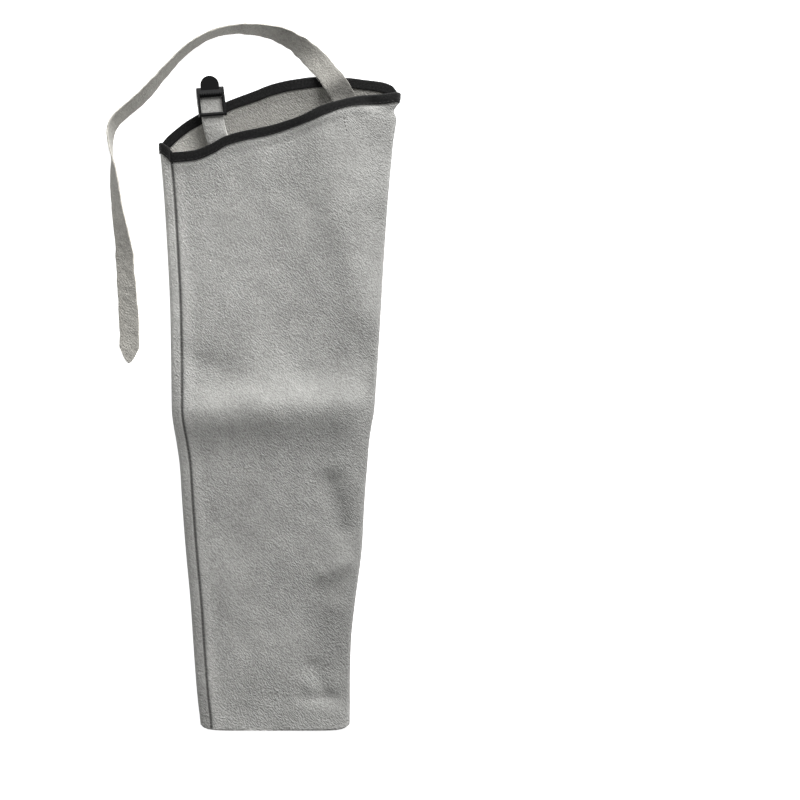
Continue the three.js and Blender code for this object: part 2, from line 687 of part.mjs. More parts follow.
// Side view of the folded tab: places along its line and below its top face, from the sewn end of
// the upper ply, round the buckle's bar, and back to the sewn end of the lower ply
function tabFold() {
  const half = LEATHER / 2;
  const bar = TAB_FREE + BAR_MIDDLE;
  const radius = EYE_HALF + half;
  const nose = bar + BAR_LENGTH / 2 - EYE_HALF + 2 * GAP;
  const parting = (TAB_FREE + bar - BAR_LENGTH / 2) / 2;
  const together = half + LEATHER + GAP;
  const underBar = half + 2 * radius;
  const sewn = [];
  for (let i = 0; i < TAB_SEWN_STEPS; i += 1) {
    sewn.push(-TAB_INSET * (1 - i / TAB_SEWN_STEPS));
  }
  for (let i = 0; i <= TAB_FREE_STEPS; i += 1) {
    sewn.push((TAB_FREE * i) / TAB_FREE_STEPS);
  }
  const line = sewn.map((v) => [v, -half]);
  line.push([parting, -half]);
  for (let i = 0; i <= EYE_STEPS; i += 1) {
    const angle = Math.PI * (0.5 - i / EYE_STEPS);
    line.push([nose + radius * Math.cos(angle), -half - radius + radius * Math.sin(angle)]);
  }
  line.push([bar - BAR_LENGTH / 2, -underBar]);
  line.push([parting, -(underBar + together) / 2 - TAB_EYE_SAG]);
  line.push(...sewn.reverse().map((v) => [v, -together]));
  return line;
}

function buckleTab() {
  const at = tabFrames();
  const line = tabFold();
  const rings = line.map((here, i) => {
    const before = line[Math.max(0, i - 1)];
    const after = line[Math.min(line.length - 1, i + 1)];
    const run = new THREE.Vector2(after[0] - before[0], after[1] - before[1]).normalize();
    const section = [];
    for (const [side, face] of [[-1, -1], [1, -1], [1, 1], [-1, 1]]) {
      const v = here[0] - (face * run.y * LEATHER) / 2;
      const w = here[1] + (face * run.x * LEATHER) / 2;
      const { place, frame } = at(v);
      section.push(place.addScaledVector(frame.right, (side * TAB_WIDTH) / 2).addScaledVector(frame.up, w));
    }
    return section;
  });
  return mesh("buckle_tab", skin(rings, false), SUEDE, 0.95);
}

const wasm = await Module();
wasm.setup();

function solid(geometry) {
  const plain = geometry.clone();
  plain.deleteAttribute("normal");
  plain.deleteAttribute("uv");
  const merged = mergeVertices(plain, 1e-4);
  return new wasm.Manifold(
    new wasm.Mesh({
      numProp: 3,
      vertProperties: new Float32Array(merged.attributes.position.array),
      triVerts: new Uint32Array(merged.index.array),
    }),
  );
}

function fromSolid(shape) {
  const { vertProperties, triVerts } = shape.getMesh();
  const geometry = new THREE.BufferGeometry();
  geometry.setAttribute("position", new THREE.BufferAttribute(vertProperties, 3));
  geometry.setIndex(new THREE.BufferAttribute(triVerts, 1));
  geometry.computeVertexNormals();
  return geometry;
}

// A side view, in places along the buckle and up from the tab's top face, extruded across it
function acrossBuckle(points, from, to, bevel = 0) {
  const shape = new THREE.Shape(points.map(([along, up]) => new THREE.Vector2(along, up)));
  const geometry = new THREE.ExtrudeGeometry(shape, {
    depth: to - from - 2 * bevel,
    bevelEnabled: bevel > 0,
    bevelThickness: bevel,
    bevelSize: bevel,
    bevelOffset: -bevel,
    bevelSegments: 1,
    steps: 1,
  });
  geometry.translate(0, 0, from + bevel);
  return geometry.applyMatrix4(
    new THREE.Matrix4().makeBasis(
      new THREE.Vector3(0, 1, 0),
      new THREE.Vector3(0, 0, 1),
      new THREE.Vector3(1, 0, 0),
    ),
  );
}

function roundedBar(alongFrom, alongTo, upFrom, upTo, cut) {
  return [
    [alongFrom, upFrom + cut],
    [alongFrom, upTo - cut],
    [alongFrom + cut, upTo],
    [alongTo - cut, upTo],
    [alongTo, upTo - cut],
    [alongTo, upFrom + cut],
    [alongTo - cut, upFrom],
    [alongFrom + cut, upFrom],
  ];
}

// The buckle in its own frame: X across it, Y along it from its end bar, Z up from the tab's top face
function buckleGeometry() {
  const slot = TAB_WIDTH / 2 + SLOT_PLAY;
  const side = slot + RAIL_WIDTH;
  const barTop = -LEATHER - GAP;
  const barBottom = barTop - BAR_HEIGHT;
  const railTop = GAP + END_BAR;
  const lipTop = railTop + LIP_RISE;
  const lipBottom = lipTop - LIP_THICKNESS;
  const barStart = LIP_START - BAR_LENGTH;
  const rail = [
    [0, -LEATHER + GAP],
    [0, railTop - END_BAR_EDGE],
    [END_BAR_EDGE, railTop],
    [LIP_START, lipTop],
    [RAIL_LENGTH - LIP_RISE, lipTop - END_BAR_EDGE],
    [RAIL_LENGTH, lipBottom + LIP_RISE],
    [RAIL_LENGTH - LIP_EDGE, barTop],
    [LIP_START + BAR_LENGTH / 2, barBottom],
    [barStart - LIP_RISE, barBottom],
    [barStart / 2, barTop],
  ];
  const lip = [
    [LIP_START, GAP + LIP_RISE],
    [LIP_START, lipTop - LIP_EDGE],
    [LIP_START + LIP_EDGE, lipTop],
    [RAIL_LENGTH - LIP_EDGE, lipTop - END_BAR_EDGE],
    [RAIL_LENGTH, lipBottom + LIP_RISE],
    [RAIL_LENGTH - LIP_EDGE, lipBottom],
    [LIP_START + LIP_THICKNESS, lipBottom],
    [LIP_START + LIP_EDGE + LIP_RISE, GAP],
    [LIP_START + LIP_RISE, GAP],
  ];
  let shape = solid(acrossBuckle(rail, -side, -slot, RAIL_EDGE));
  shape = shape.add(solid(acrossBuckle(rail, slot, side, RAIL_EDGE)));
  const bars = [
    roundedBar(0, END_BAR, GAP, railTop, END_BAR_EDGE),
    roundedBar(barStart, LIP_START, barBottom, barTop, BAR_EDGE),
    lip,
  ];
  for (const bar of bars) {
    shape = shape.add(solid(acrossBuckle(bar, -slot - RAIL_WIDTH / 2, slot + RAIL_WIDTH / 2)));
  }
  shape = shape.add(solid(thumb(lipTop)));
  const firstTooth = (-(TOOTH_COUNT - 1) / 2) * TOOTH_PITCH;
  for (let i = 0; i < TOOTH_COUNT; i += 1) {
    const cutter = new THREE.BoxGeometry(TOOTH_PITCH / 2, 2 * TOOTH_DEPTH, 2 * LIP_THICKNESS);
    cutter.rotateX(radians(-45));
    cutter.translate(firstTooth + i * TOOTH_PITCH, LIP_START, lipTop - LIP_EDGE);
    shape = shape.subtract(solid(cutter));
  }
  return fromSolid(shape);
}

// The thumb tab: a half-round plate past the lip, turned up at its end
function thumb(lipTop) {
  const root = RAIL_LENGTH - THUMB_ROOT;
  const middle = BUCKLE_LENGTH - THUMB_RADIUS;
  const plan = new THREE.Shape();
  plan.moveTo(THUMB_RADIUS, root);
  plan.lineTo(THUMB_RADIUS, middle);
  plan.absarc(0, middle, THUMB_RADIUS, 0, Math.PI, false);
  plan.lineTo(-THUMB_RADIUS, root);
  plan.closePath();
  const geometry = new THREE.ExtrudeGeometry(plan, {
    depth: THUMB_THICKNESS - 2 * THUMB_EDGE,
    bevelEnabled: true,
    bevelThickness: THUMB_EDGE,
    bevelSize: THUMB_EDGE,
    bevelOffset: -THUMB_EDGE,
    bevelSegments: 1,
    curveSegments: THUMB_STEPS,
  });
  geometry.translate(0, -root, 0);
  geometry.rotateX(radians(THUMB_LIFT));
  geometry.translate(0, root, lipTop - THUMB_THICKNESS - THUMB_EDGE);
  return geometry;
}

function ladderBuckle() {
  const piece = mesh("ladder_buckle", buckleGeometry(), PLASTIC_BLACK, 0.45);
  const { place, frame } = tabFrames()(TAB_FREE);
  piece.position.copy(place);
  piece.quaternion.setFromRotationMatrix(new THREE.Matrix4().makeBasis(frame.right, frame.along, frame.up));
  return piece;
}

const sleeve = new THREE.Group();
sleeve.name = "welding_sleeve";
sleeve.add(sleeveBody(), mouthBinding(), longStrap(), buckleTab(), ladderBuckle());

export default sleeve;
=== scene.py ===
"""Welding sleeve of split leather, lying flat, with a bound mouth, a tie strap and a ladder-lock buckle.

Metres, +Z up. X runs across the sleeve from the sewn side to the folded side, Y runs from the cuff
to the mouth, and the floor is at Z = 0.
"""

import logging
import math
from dataclasses import dataclass, field
from enum import Enum, IntEnum
from typing import Callable, NamedTuple, Sequence

import bmesh
import bpy
import numpy as np
from mathutils import Matrix, Vector


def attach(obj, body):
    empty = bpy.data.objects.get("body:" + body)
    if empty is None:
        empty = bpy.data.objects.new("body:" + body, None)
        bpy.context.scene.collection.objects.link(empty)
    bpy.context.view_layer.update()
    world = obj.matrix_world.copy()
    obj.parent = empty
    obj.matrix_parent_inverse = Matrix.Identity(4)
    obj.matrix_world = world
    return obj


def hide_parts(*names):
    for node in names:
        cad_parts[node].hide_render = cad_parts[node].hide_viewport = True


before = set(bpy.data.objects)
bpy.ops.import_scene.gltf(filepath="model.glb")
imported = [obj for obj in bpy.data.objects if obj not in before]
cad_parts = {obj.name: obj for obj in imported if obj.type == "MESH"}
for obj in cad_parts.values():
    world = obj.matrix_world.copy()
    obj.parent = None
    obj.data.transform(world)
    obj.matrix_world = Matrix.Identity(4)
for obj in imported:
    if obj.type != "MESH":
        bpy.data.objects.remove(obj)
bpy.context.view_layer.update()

LOG = logging.getLogger("welding_sleeve")
MM = 0.001
# A wave texture's bands repeat every pi / 10 of its scaled place
BANDS = math.pi / 10


class Seed(IntEnum):
    """Seeds of the random draws, which give the same piece in every run."""

    HIDE_SWELLS = 0
    CUFF_EDGE = 5
    HIDE_DYE = 21
    TAPE_EDGE = 31
    STRAP_EDGE = 41
    STRAP_SWELL = 42
    STRAP_DYE = 43
    TAB_SWELL = 51
    FIBRE_PLACES = 61
    STRAP_FIBRES = 62
    CUFF_FIBRES = 63
    TUFT_PLACES = 64
    TUFT_FIBRES = 65


class Section(NamedTuple):
    """One section of the sleeve: its place, and its width, drift and arch as shares."""

    along: float
    spread: float
    drift: float
    bow: float


class RimPlace(NamedTuple):
    """One place of a rim: across from -1 to 1, and along in shares of the sleeve's length."""

    across: float
    along: float


class Fold(NamedTuple):
    """A fold (positive lift) or a dent (negative lift) along a line between two places."""

    start: tuple[float, float]
    end: tuple[float, float]
    lift: float
    to_mouth: float
    to_cuff: float


class Bend(NamedTuple):
    """One place of the strap's route: heading from +X towards +Y and bank, both in degrees."""

    run: float
    heading: float
    tilt: float


SECTIONS = [Section(*row) for row in (
    (0.0, 0.0, 0.002, 0.16), (0.044, 0.034, -0.003, 0.17), (0.076, 0.054, -0.007, 0.18),
    (0.148, 0.106, -0.011, 0.2), (0.2, 0.171, -0.008, 0.21), (0.288, 0.305, -0.004, 0.22),
    (0.36, 0.371, -0.006, 0.23), (0.414, 0.425, -0.005, 0.24), (0.452, 0.484, -0.008, 0.24),
    (0.477, 0.54, -0.009, 0.24), (0.502, 0.592, -0.007, 0.24), (0.528, 0.609, -0.005, 0.24),
    (0.597, 0.648, 0.0, 0.24), (0.676, 0.693, 0.004, 0.26), (0.755, 0.754, 0.005, 0.34),
    (0.834, 0.827, 0.006, 0.52), (0.913, 0.922, 0.007, 0.78), (1.0, 1.0, 0.022, 1.0),
)]

NEAR_RIM = [RimPlace(*row) for row in (
    (-1.0, 0.921), (-0.93, 0.914), (-0.89, 0.905), (-0.71, 0.907), (-0.56, 0.916), (-0.43, 0.928),
    (-0.29, 0.935), (-0.07, 0.943), (0.16, 0.956), (0.425, 0.977), (0.64, 0.99), (0.86, 0.996),
    (1.0, 1.0),
)]

FAR_RIM = [RimPlace(*row) for row in (
    (-1.0, 0.921), (-0.925, 0.933), (-0.75, 0.958), (-0.405, 0.989), (-0.23, 1.0015),
    (-0.055, 1.014), (0.115, 1.021), (0.32, 1.025), (0.576, 1.0235), (0.709, 1.0205),
    (0.858, 1.017), (0.933, 1.012), (1.0, 1.0),
)]

# In order: half fold, mouth fold, middle swell, seam dent, pinch valley, upper sag, lower sag, side
# fold, side dent, side crease, cuff dent, cuff crease, cuff fold and cuff lip, as in the solids
FOLDS = (
    Fold((-0.73, 0.499), (0.76, 0.51), 0.88, 0.77, 0.95),
    Fold((0.36, 0.945), (0.88, 0.66), 0.5, 1.5, 0.85),
    Fold((-0.24, 0.88), (-0.3, 0.676), 0.09, 1.3, 1.3),
    Fold((-0.95, 0.6), (-0.45, 0.56), -0.16, 0.5, 0.5),
    Fold((1.0, 0.974), (0.77, 0.982), -0.25, 0.22, 0.22),
    Fold((0.3, 0.6), (0.3, 0.7), -0.1, 1.6, 1.6),
    Fold((0.12, 0.1), (0.2, 0.42), -0.1, 1.6, 1.6),
    Fold((0.8, 0.455), (0.86, 0.202), 0.18, 0.7, 0.6),
    Fold((0.63, 0.385), (0.77, 0.315), -0.38, 0.45, 0.45),
    Fold((0.6, 0.248), (0.88, 0.262), 0.3, 0.4, 0.4),
    Fold((0.53, 0.098), (0.7, 0.055), -0.25, 0.35, 0.35),
    Fold((0.42, 0.05), (0.88, 0.047), -0.15, 0.26, 0.26),
    Fold((0.45, 0.075), (0.72, 0.068), 0.08, 0.4, 0.35),
    Fold((-0.8, -0.02), (0.8, -0.02), 0.28, 0.8, 0.8),
)

ARCH_BENDS = [Bend(*row) for row in (
    (0.0, 118, 0), (0.025, 120.5, 18), (0.05, 123, 20), (0.07, 125, 17), (0.095, 127.5, 13),
    (0.115, 129.5, 11), (0.137, 132, 12), (0.165, 136, 20), (0.205, 142, 34), (0.24, 151, 44),
    (0.275, 160, 54), (0.31, 168, 64), (0.38, 180, 73.5), (0.445, 193, 80), (0.49, 206, 82),
    (0.55, 218, 80.5), (0.61, 227, 79), (0.69, 229, 71), (0.745, 224, 66), (0.79, 219, 65),
    (0.83, 225, 67), (0.865, 249, 73), (0.9, 271, 83), (0.935, 277, 92), (1.0, 275, 115),
)]

TAIL_BENDS = [Bend(*row) for row in (
    (0.0, 275, 115), (0.12, 276, 126), (0.25, 279.5, 136), (0.33, 279.5, 145), (0.45, 273, 160),
    (0.6, 274, 167), (0.8, 272, 177), (1.0, 267, 180),
)]


def smooth(value: np.ndarray | float) -> np.ndarray:
    """Returns a smooth step from 0 at 0 to 1 at 1.

    Args:
        value: The place on the step, of any size.

    Returns:
        The step's height, flat outside 0 to 1.
    """
    t = np.clip(value, 0.0, 1.0)
    return t * t * (3 - 2 * t)


def ramp(value: np.ndarray, start: np.ndarray | float, end: np.ndarray | float) -> np.ndarray:
    """Returns a smooth step from 0 at the start to 1 at the end, which may lie below the start."""
    return smooth((value - start) / (end - start))


def hump(offset: np.ndarray | float, width: np.ndarray | float) -> np.ndarray:
    """Returns a soft hump, 1 in its middle and nearly 0 at twice its width."""
    return np.exp(-((offset / width) ** 2))


def mix(start: np.ndarray | float, end: np.ndarray | float, share: np.ndarray | float) -> np.ndarray:
    """Returns what lies a share of the way from start to end."""
    return start + (end - start) * share


def table_curve(places: Sequence[float], values: Sequence[float]) -> Callable[..., np.ndarray]:
    """Fits a monotone cubic through a table's column.

    Args:
        places: Rising places of the rows.
        values: The column's values at those places.

    Returns:
        A function from places to values, flat beyond the table's ends.
    """
    x = np.asarray(places, float)
    y = np.asarray(values, float)
    h = np.diff(x)
    slope = np.diff(y) / h
    tangent = np.zeros_like(x)
    for i in range(1, len(x) - 1):
        if slope[i - 1] * slope[i] > 0:
            first = 2 * h[i] + h[i - 1]
            second = h[i] + 2 * h[i - 1]
            tangent[i] = (first + second) / (first / slope[i - 1] + second / slope[i])

    def at(value: np.ndarray | float) -> np.ndarray:
        """Returns the column's values at places."""
        v = np.clip(value, x[0], x[-1])
        i = np.clip(np.searchsorted(x, v, side="left") - 1, 0, len(h) - 1)
        t = (v - x[i]) / h[i]
        bend = tangent[i] * t * (1 - t) ** 2 + tangent[i + 1] * t * t * (t - 1)
        return mix(y[i], y[i + 1], smooth(t)) + h[i] * bend

    return at


def column_curve(rows: Sequence[NamedTuple], column: str) -> Callable[..., np.ndarray]:
    """Fits a monotone cubic through a column, over the first column's places."""
    return table_curve([row[0] for row in rows], [getattr(row, column) for row in rows])


class Ripple:
    """Smooth random relief made of plane waves, the same in every run."""

    waves: int = 40
    shortest: float = 0.65
    longest: float = 1.5

    def __init__(self, seed: int, wavelength: float, stretch: float = 1.0, turn: float = 0.0) -> None:
        """Draws the waves.

        Args:
            seed: Seed of the random draw.
            wavelength: Typical wavelength in metres.
            stretch: How many times longer the relief is along its grain than across it.
            turn: Direction of the grain in degrees from +X towards +Y.
        """
        draw = np.random.default_rng(seed)
        angle = draw.uniform(0, 2 * math.pi, self.waves)
        number = 2 * math.pi / (wavelength * draw.uniform(self.shortest, self.longest, self.waves))
        along = number * np.cos(angle) / stretch
        across = number * np.sin(angle)
        lean = math.radians(turn)
        self.kx = along * math.cos(lean) - across * math.sin(lean)
        self.ky = along * math.sin(lean) + across * math.cos(lean)
        self.phase = draw.uniform(0, 2 * math.pi, self.waves)
        self.scale = math.sqrt(2 / self.waves)

    def __call__(self, x: np.ndarray, y: np.ndarray) -> np.ndarray:
        """Returns the relief at places, about -2 to 2 with a spread of 1."""
        total = np.zeros(np.broadcast(x, y).shape)
        for kx, ky, phase in zip(self.kx, self.ky, self.phase):
            total += np.cos(kx * x + ky * y + phase)
        return total * self.scale


@dataclass(frozen=True)
class SleeveForm:
    """The sleeve's shape as its solids have it: outline, panels, walls and rims."""

    length: float = 570 * MM
    cuff_width: float = 134 * MM
    mouth_width: float = 215 * MM
    leather: float = 1.4 * MM
    side_fold_radius: float = 3.7 * MM
    mouth_bow: float = 17.6 * MM
    rim_curl: float = 3 * MM
    rim_curl_run: float = 60 * MM
    cuff_corner: float = 5 * MM
    seam_width: float = 9.4 * MM
    seam_raise: float = 0.7 * MM
    seam_groove: float = 1.2 * MM
    seam_allowance: float = 1.4 * MM
    fold_lift: float = 10 * MM
    fold_spread: float = 25 * MM
    pinch_depth: float = 4 * MM
    pinch_spread: float = 5 * MM
    pinch_below_mouth: float = 15 * MM
    tape: float = 0.8 * MM
    tape_leg: float = 8.2 * MM
    gap: float = 0.3 * MM
    seat_gap: float = 0.6 * MM
    flat_power: float = 5
    round_power: float = 2.2
    rounding_from: float = 0.68
    rounding_run: float = 0.25
    curl_power: float = 4
    fold_edge_power: float = 8
    corner_power: float = 14
    corner_run: float = 0.1
    seam_reach: float = 1.5
    seam_share: float = 0.25
    strip_rise: float = 0.35
    strip_fall: float = 0.86
    groove_middle: float = 1.08
    groove_spread: float = 0.12
    turned_in: tuple[float, float, float, float] = (0.25, 0.6, 1.3, 1.5)
    tape_run: float = 2.2
    leg_limit: float = 1.3
    nearly_on: float = 1e-9
    wall_step: float = 0.002
    rim_step: float = 0.01
    seat_step: float = 4 * MM
    spread_at: Callable = column_curve(SECTIONS, "spread")
    drift_at: Callable = column_curve(SECTIONS, "drift")
    bow_at: Callable = column_curve(SECTIONS, "bow")
    near_rim_at: Callable = column_curve(NEAR_RIM, "along")
    far_rim_at: Callable = column_curve(FAR_RIM, "along")

    @property
    def sewn_depth(self) -> float:
        """Depth of a piece's top face where it is sewn inside the near panel."""
        return self.leather + self.gap + self.tape + self.seat_gap

    def to_y(self, along: np.ndarray | float) -> np.ndarray:
        """Returns the place along the sleeve of a share of its length."""
        return (np.asarray(along) - 0.5) * self.length

    def to_along(self, y: np.ndarray | float) -> np.ndarray:
        """Returns the share of the sleeve's length at a place along it."""
        return np.asarray(y) / self.length + 0.5

    def outline(self, y: np.ndarray) -> tuple[np.ndarray, np.ndarray, np.ndarray, np.ndarray]:
        """Gives the flat outline at places along the sleeve.

        Args:
            y: Places along the sleeve.

        Returns:
            The left side, the right side, the middle and half the width.
        """
        along = self.to_along(y)
        half = mix(self.cuff_width, self.mouth_width, self.spread_at(along)) / 2
        middle = self.drift_at(along) * self.mouth_width
        from_pinch = y - (self.length / 2 - self.pinch_below_mouth)
        pinch = self.pinch_depth * hump(from_pinch, self.pinch_spread)
        return middle - half, middle + half - pinch, middle, half

    def strip(self, x: np.ndarray, y: np.ndarray) -> np.ndarray:
        """Returns the place across the seam's strip, from 0 at the sewn side to 1 at its inner edge."""
        return (x - self.outline(y)[0]) / self.seam_width

    def fold_height(self, across: np.ndarray, y: np.ndarray, half: np.ndarray) -> np.ndarray:
        """Adds up the folds and dents of the near panel.

        Args:
            across: Places across, from -1 at the sewn side to 1 at the folded side.
            y: Places along the sleeve.
            half: Half the sleeve's width there.

        Returns:
            The height that they add.
        """
        height = np.zeros(np.broadcast(across, y).shape)
        for fold in FOLDS:
            start_x = fold.start[0] * half
            start_y = self.to_y(fold.start[1])
            line_x = fold.end[0] * half - start_x
            line_y = self.to_y(fold.end[1]) - start_y
            from_x = across * half - start_x
            from_y = y - start_y
            share = np.clip((from_x * line_x + from_y * line_y) / (line_x**2 + line_y**2), 0, 1)
            off_x = from_x - share * line_x
            off_y = from_y - share * line_y
            off = np.hypot(off_x, off_y)
            mouthward = np.sign(line_x) * (off_y * line_x - off_x * line_y)
            side = mouthward / (np.hypot(line_x, line_y) * np.maximum(off, self.nearly_on))
            reach = self.fold_spread * mix(fold.to_cuff, fold.to_mouth, (1 + side) / 2)
            height += fold.lift * self.fold_lift * hump(off, reach)
        return height

    def side_round(self, from_edge: np.ndarray) -> np.ndarray:
        """Returns the height that the round of a side fold has gained at a distance from the side."""
        inward = np.clip(from_edge, 0, self.side_fold_radius)
        return np.sqrt(inward * (2 * self.side_fold_radius - inward))

    def tape_rise(self, y: np.ndarray, rim: np.ndarray) -> np.ndarray:
        """Returns how far the rim is lifted to leave room for the tape under it."""
        return (self.tape + self.gap) * smooth((y - rim) / self.tape_leg + self.tape_run)

    def near_panel(self, x: np.ndarray, y: np.ndarray) -> np.ndarray:
        """Gives the near panel's outer face, without the seam's relief.

        Args:
            x: Places across the sleeve.
            y: Places along it.

        Returns:
            The face's heights over the floor.
        """
        left, right, middle, half = self.outline(y)
        across = np.clip((x - middle) / half, -1, 1)
        reach = np.abs(across)
        along = self.to_along(y)
        rounding = smooth((along - self.rounding_from) / self.rounding_run)
        power = mix(self.flat_power, self.round_power, rounding)
        arch = self.bow_at(along) * self.mouth_bow * (1 - reach**power)
        folds = self.fold_height(across, y, half) * (1 - reach**self.fold_edge_power)
        turn = self.side_round(np.minimum(x - left, right - x))
        rise = self.tape_rise(y, self.to_y(self.near_rim_at(across)))
        return self.side_fold_radius + turn + arch + folds + rise

    def far_panel(self, x: np.ndarray, y: np.ndarray) -> np.ndarray:
        """Gives the far panel's outer face, which lies on the floor.

        Args:
            x: Places across the sleeve.
            y: Places along it.

        Returns:
            The face's heights over the floor.
        """
        left, right, middle, half = self.outline(y)
        across = np.clip((x - middle) / half, -1, 1)
        rim = self.to_y(self.far_rim_at(across))
        curl = np.maximum(0, (y - rim) / self.rim_curl_run + 1) ** 2
        lift = self.rim_curl * curl * (1 - np.abs(across) ** self.curl_power) + self.tape_rise(y, rim)
        return self.side_fold_radius - self.side_round(np.minimum(x - left, right - x)) + lift

    def seam_relief(self, x: np.ndarray, y: np.ndarray) -> np.ndarray:
        """Returns the raised strip of the seam and the groove beside it."""
        strip = self.strip(x, y)
        raised = self.seam_raise * smooth(strip / self.strip_rise) * (1 - ramp(strip, self.strip_fall, 1))
        return raised - self.seam_groove * hump(strip - self.groove_middle, self.groove_spread)

    def from_sewn_side(self, station: np.ndarray, width: np.ndarray | float) -> np.ndarray:
        """Gives a station's distance from the sewn side.

        Args:
            station: From 0 at the sewn side over the near panel to 1, and under the far panel to 2.
            width: The sleeve's flat width.

        Returns:
            The distance across the sleeve.
        """
        under = width * (1 - np.cos(np.pi * (2 - station))) / 2
        zone = self.seam_reach * self.seam_width
        seam = zone * (station / self.seam_share) ** 2
        share = np.clip((station - self.seam_share) / (1 - self.seam_share), 0, 1)
        panel = zone + (width - zone) * np.sin(np.pi / 2 * share)
        return np.where(station >= 1, under, np.where(station < self.seam_share, seam, panel))

    def station_x(self, station: np.ndarray, y: np.ndarray) -> np.ndarray:
        """Returns the place across the sleeve of a station."""
        left, right, _, _ = self.outline(y)
        return left + self.from_sewn_side(station, right - left)

    def rim_y(self, station: np.ndarray) -> np.ndarray:
        """Returns the rim's place along the sleeve at a station."""
        across = 2 * self.from_sewn_side(station, self.mouth_width) / self.mouth_width - 1
        return self.to_y(np.where(station < 1, self.near_rim_at(across), self.far_rim_at(across)))

    def wall(self, station: np.ndarray, y: np.ndarray) -> np.ndarray:
        """Returns the wall's depth: one hide, and two where the seam's allowance is turned in."""
        begin, full, until, end = self.turned_in
        strip = self.strip(self.station_x(station, y), y)
        double = ramp(strip, begin, full) * (1 - ramp(strip, until, end))
        return self.leather + self.seam_allowance * np.where(station < 1, double, 0)

    def around(self, station: np.ndarray, y: np.ndarray) -> tuple[np.ndarray, np.ndarray]:
        """Returns the place across and the height of the outer face at a station."""
        s = (station + 2) % 2
        x = self.station_x(s, y)
        return x, np.where(s < 1, self.near_panel(x, y), self.far_panel(x, y))

    def wall_point(self, station: np.ndarray, y: np.ndarray, depth: np.ndarray | float,
                   relief: bool) -> np.ndarray:
        """Gives points of the sleeve's wall.

        Args:
            station: Stations round the sleeve.
            y: Places along it.
            depth: Depth inside the outer face, negative outside it.
            relief: Whether the seam's relief shows.

        Returns:
            An array of points, its last axis X, Y and Z.
        """
        station, y = np.broadcast_arrays(np.asarray(station, float), np.asarray(y, float))
        ahead = self.around(station + self.wall_step, y)
        behind = self.around(station - self.wall_step, y)
        run_x = ahead[0] - behind[0]
        run_z = ahead[1] - behind[1]
        size = np.hypot(run_x, run_z)
        x, z = self.around(station, y)
        seam = np.where(station < 1, self.seam_relief(x, y), 0) if relief else 0
        return np.stack([x + run_z / size * depth, y, z - run_x / size * depth + seam], axis=-1)

    def leg_drop(self, station: np.ndarray) -> np.ndarray:
        """Gives the length along the sleeve that a leg of the tape takes.

        Args:
            station: Stations round the mouth.

        Returns:
            The lengths, longer where the rim slants.
        """
        ahead_at = (station + self.rim_step) % 2
        behind_at = (station + 2 - self.rim_step) % 2
        ahead = self.wall_point(ahead_at, self.rim_y(ahead_at), 0, True)
        behind = self.wall_point(behind_at, self.rim_y(behind_at), 0, True)
        run = np.hypot(ahead[..., 0] - behind[..., 0], ahead[..., 2] - behind[..., 2])
        slant = np.hypot(1, (ahead[..., 1] - behind[..., 1]) / run)
        return self.tape_leg * np.minimum(self.leg_limit, slant)

    def row_y(self, share: float, station: np.ndarray) -> np.ndarray:
        """Returns a row's places: square at the cuff, and leaning over to follow the rim."""
        across = np.abs(2 * self.from_sewn_side(station, self.cuff_width) / self.cuff_width - 1)
        near_cuff = max(0.0, 1 - share / self.corner_run) ** 2
        lean = smooth((share - 0.5) * 2) * (self.rim_y(station) - self.length / 2)
        return self.to_y(share) + lean + self.cuff_corner * across**self.corner_power * near_cuff

    def rim_place(self, across: float) -> np.ndarray:
        """Returns the place in plan where a piece sewn inside the near panel crosses the rim."""
        y = float(self.to_y(self.near_rim_at(across)))
        _, _, middle, half = self.outline(y)
        return np.array([float(middle) + across * float(half), y])

    def seat(self, place: np.ndarray, heading: float, depth: float) -> tuple[float, float, float]:
        """Gives how a flat piece lies against the inside of the near panel.

        Args:
            place: Its place in plan.
            heading: Its heading in radians.
            depth: How deep it lies under the near panel's outer face.

        Returns:
            Its height, and the panel's rise along and to the right of its heading.
        """
        along = np.array([math.cos(heading), math.sin(heading)])
        right = np.array([along[1], -along[0]]) * self.seat_step
        back = place - 2 * self.seat_step * along
        here, behind, on_right, on_left = (
            float(self.near_panel(*at)) for at in (place, back, place + right, place - right)
        )
        run = 2 * self.seat_step
        return here - depth, (here - behind) / run, (on_right - on_left) / run


class Face(Enum):
    """Which side of the hide a face belongs to."""

    OUTSIDE = 0
    INSIDE = 1
    CUT_EDGE = 2


def linear(hex_colour: str) -> tuple[float, float, float, float]:
    """Turns an sRGB hex colour to linear light.

    Args:
        hex_colour: Six hex digits.

    Returns:
        Red, green, blue and alpha for a shader's socket.
    """
    channels = [int(hex_colour[i : i + 2], 16) / 255 for i in (0, 2, 4)]
    light = [c / 12.92 if c <= 0.04045 else ((c + 0.055) / 1.055) ** 2.4 for c in channels]
    return (*light, 1.0)


def add_node(tree: bpy.types.NodeTree, kind: str, inputs: dict | None = None, out: int | str = 0,
             **settings) -> bpy.types.NodeSocket | None:
    """Adds a node with its settings and links.

    Args:
        tree: The material's node tree.
        kind: The node's type name.
        inputs: A value or an output socket for each input, by the input's name or number.
        out: The name or number of the output that is wanted.
        **settings: The node's own properties.

    Returns:
        The wanted output, or None from a node that has no outputs.
    """
    node = tree.nodes.new(kind)
    for name, value in settings.items():
        setattr(node, name, value)
    for name, value in (inputs or {}).items():
        if isinstance(value, bpy.types.NodeSocket):
            tree.links.new(value, node.inputs[name])
        else:
            node.inputs[name].default_value = value
    return node.outputs[out] if len(node.outputs) else None


def new_material(name: str) -> tuple[bpy.types.Material, bpy.types.NodeTree]:
    """Makes a material with an empty node tree.

    Args:
        name: What the material is.

    Returns:
        The material and its node tree.
    """
    material = bpy.data.materials.new(name)
    material.use_nodes = True
    material.node_tree.nodes.clear()
    return material, material.node_tree


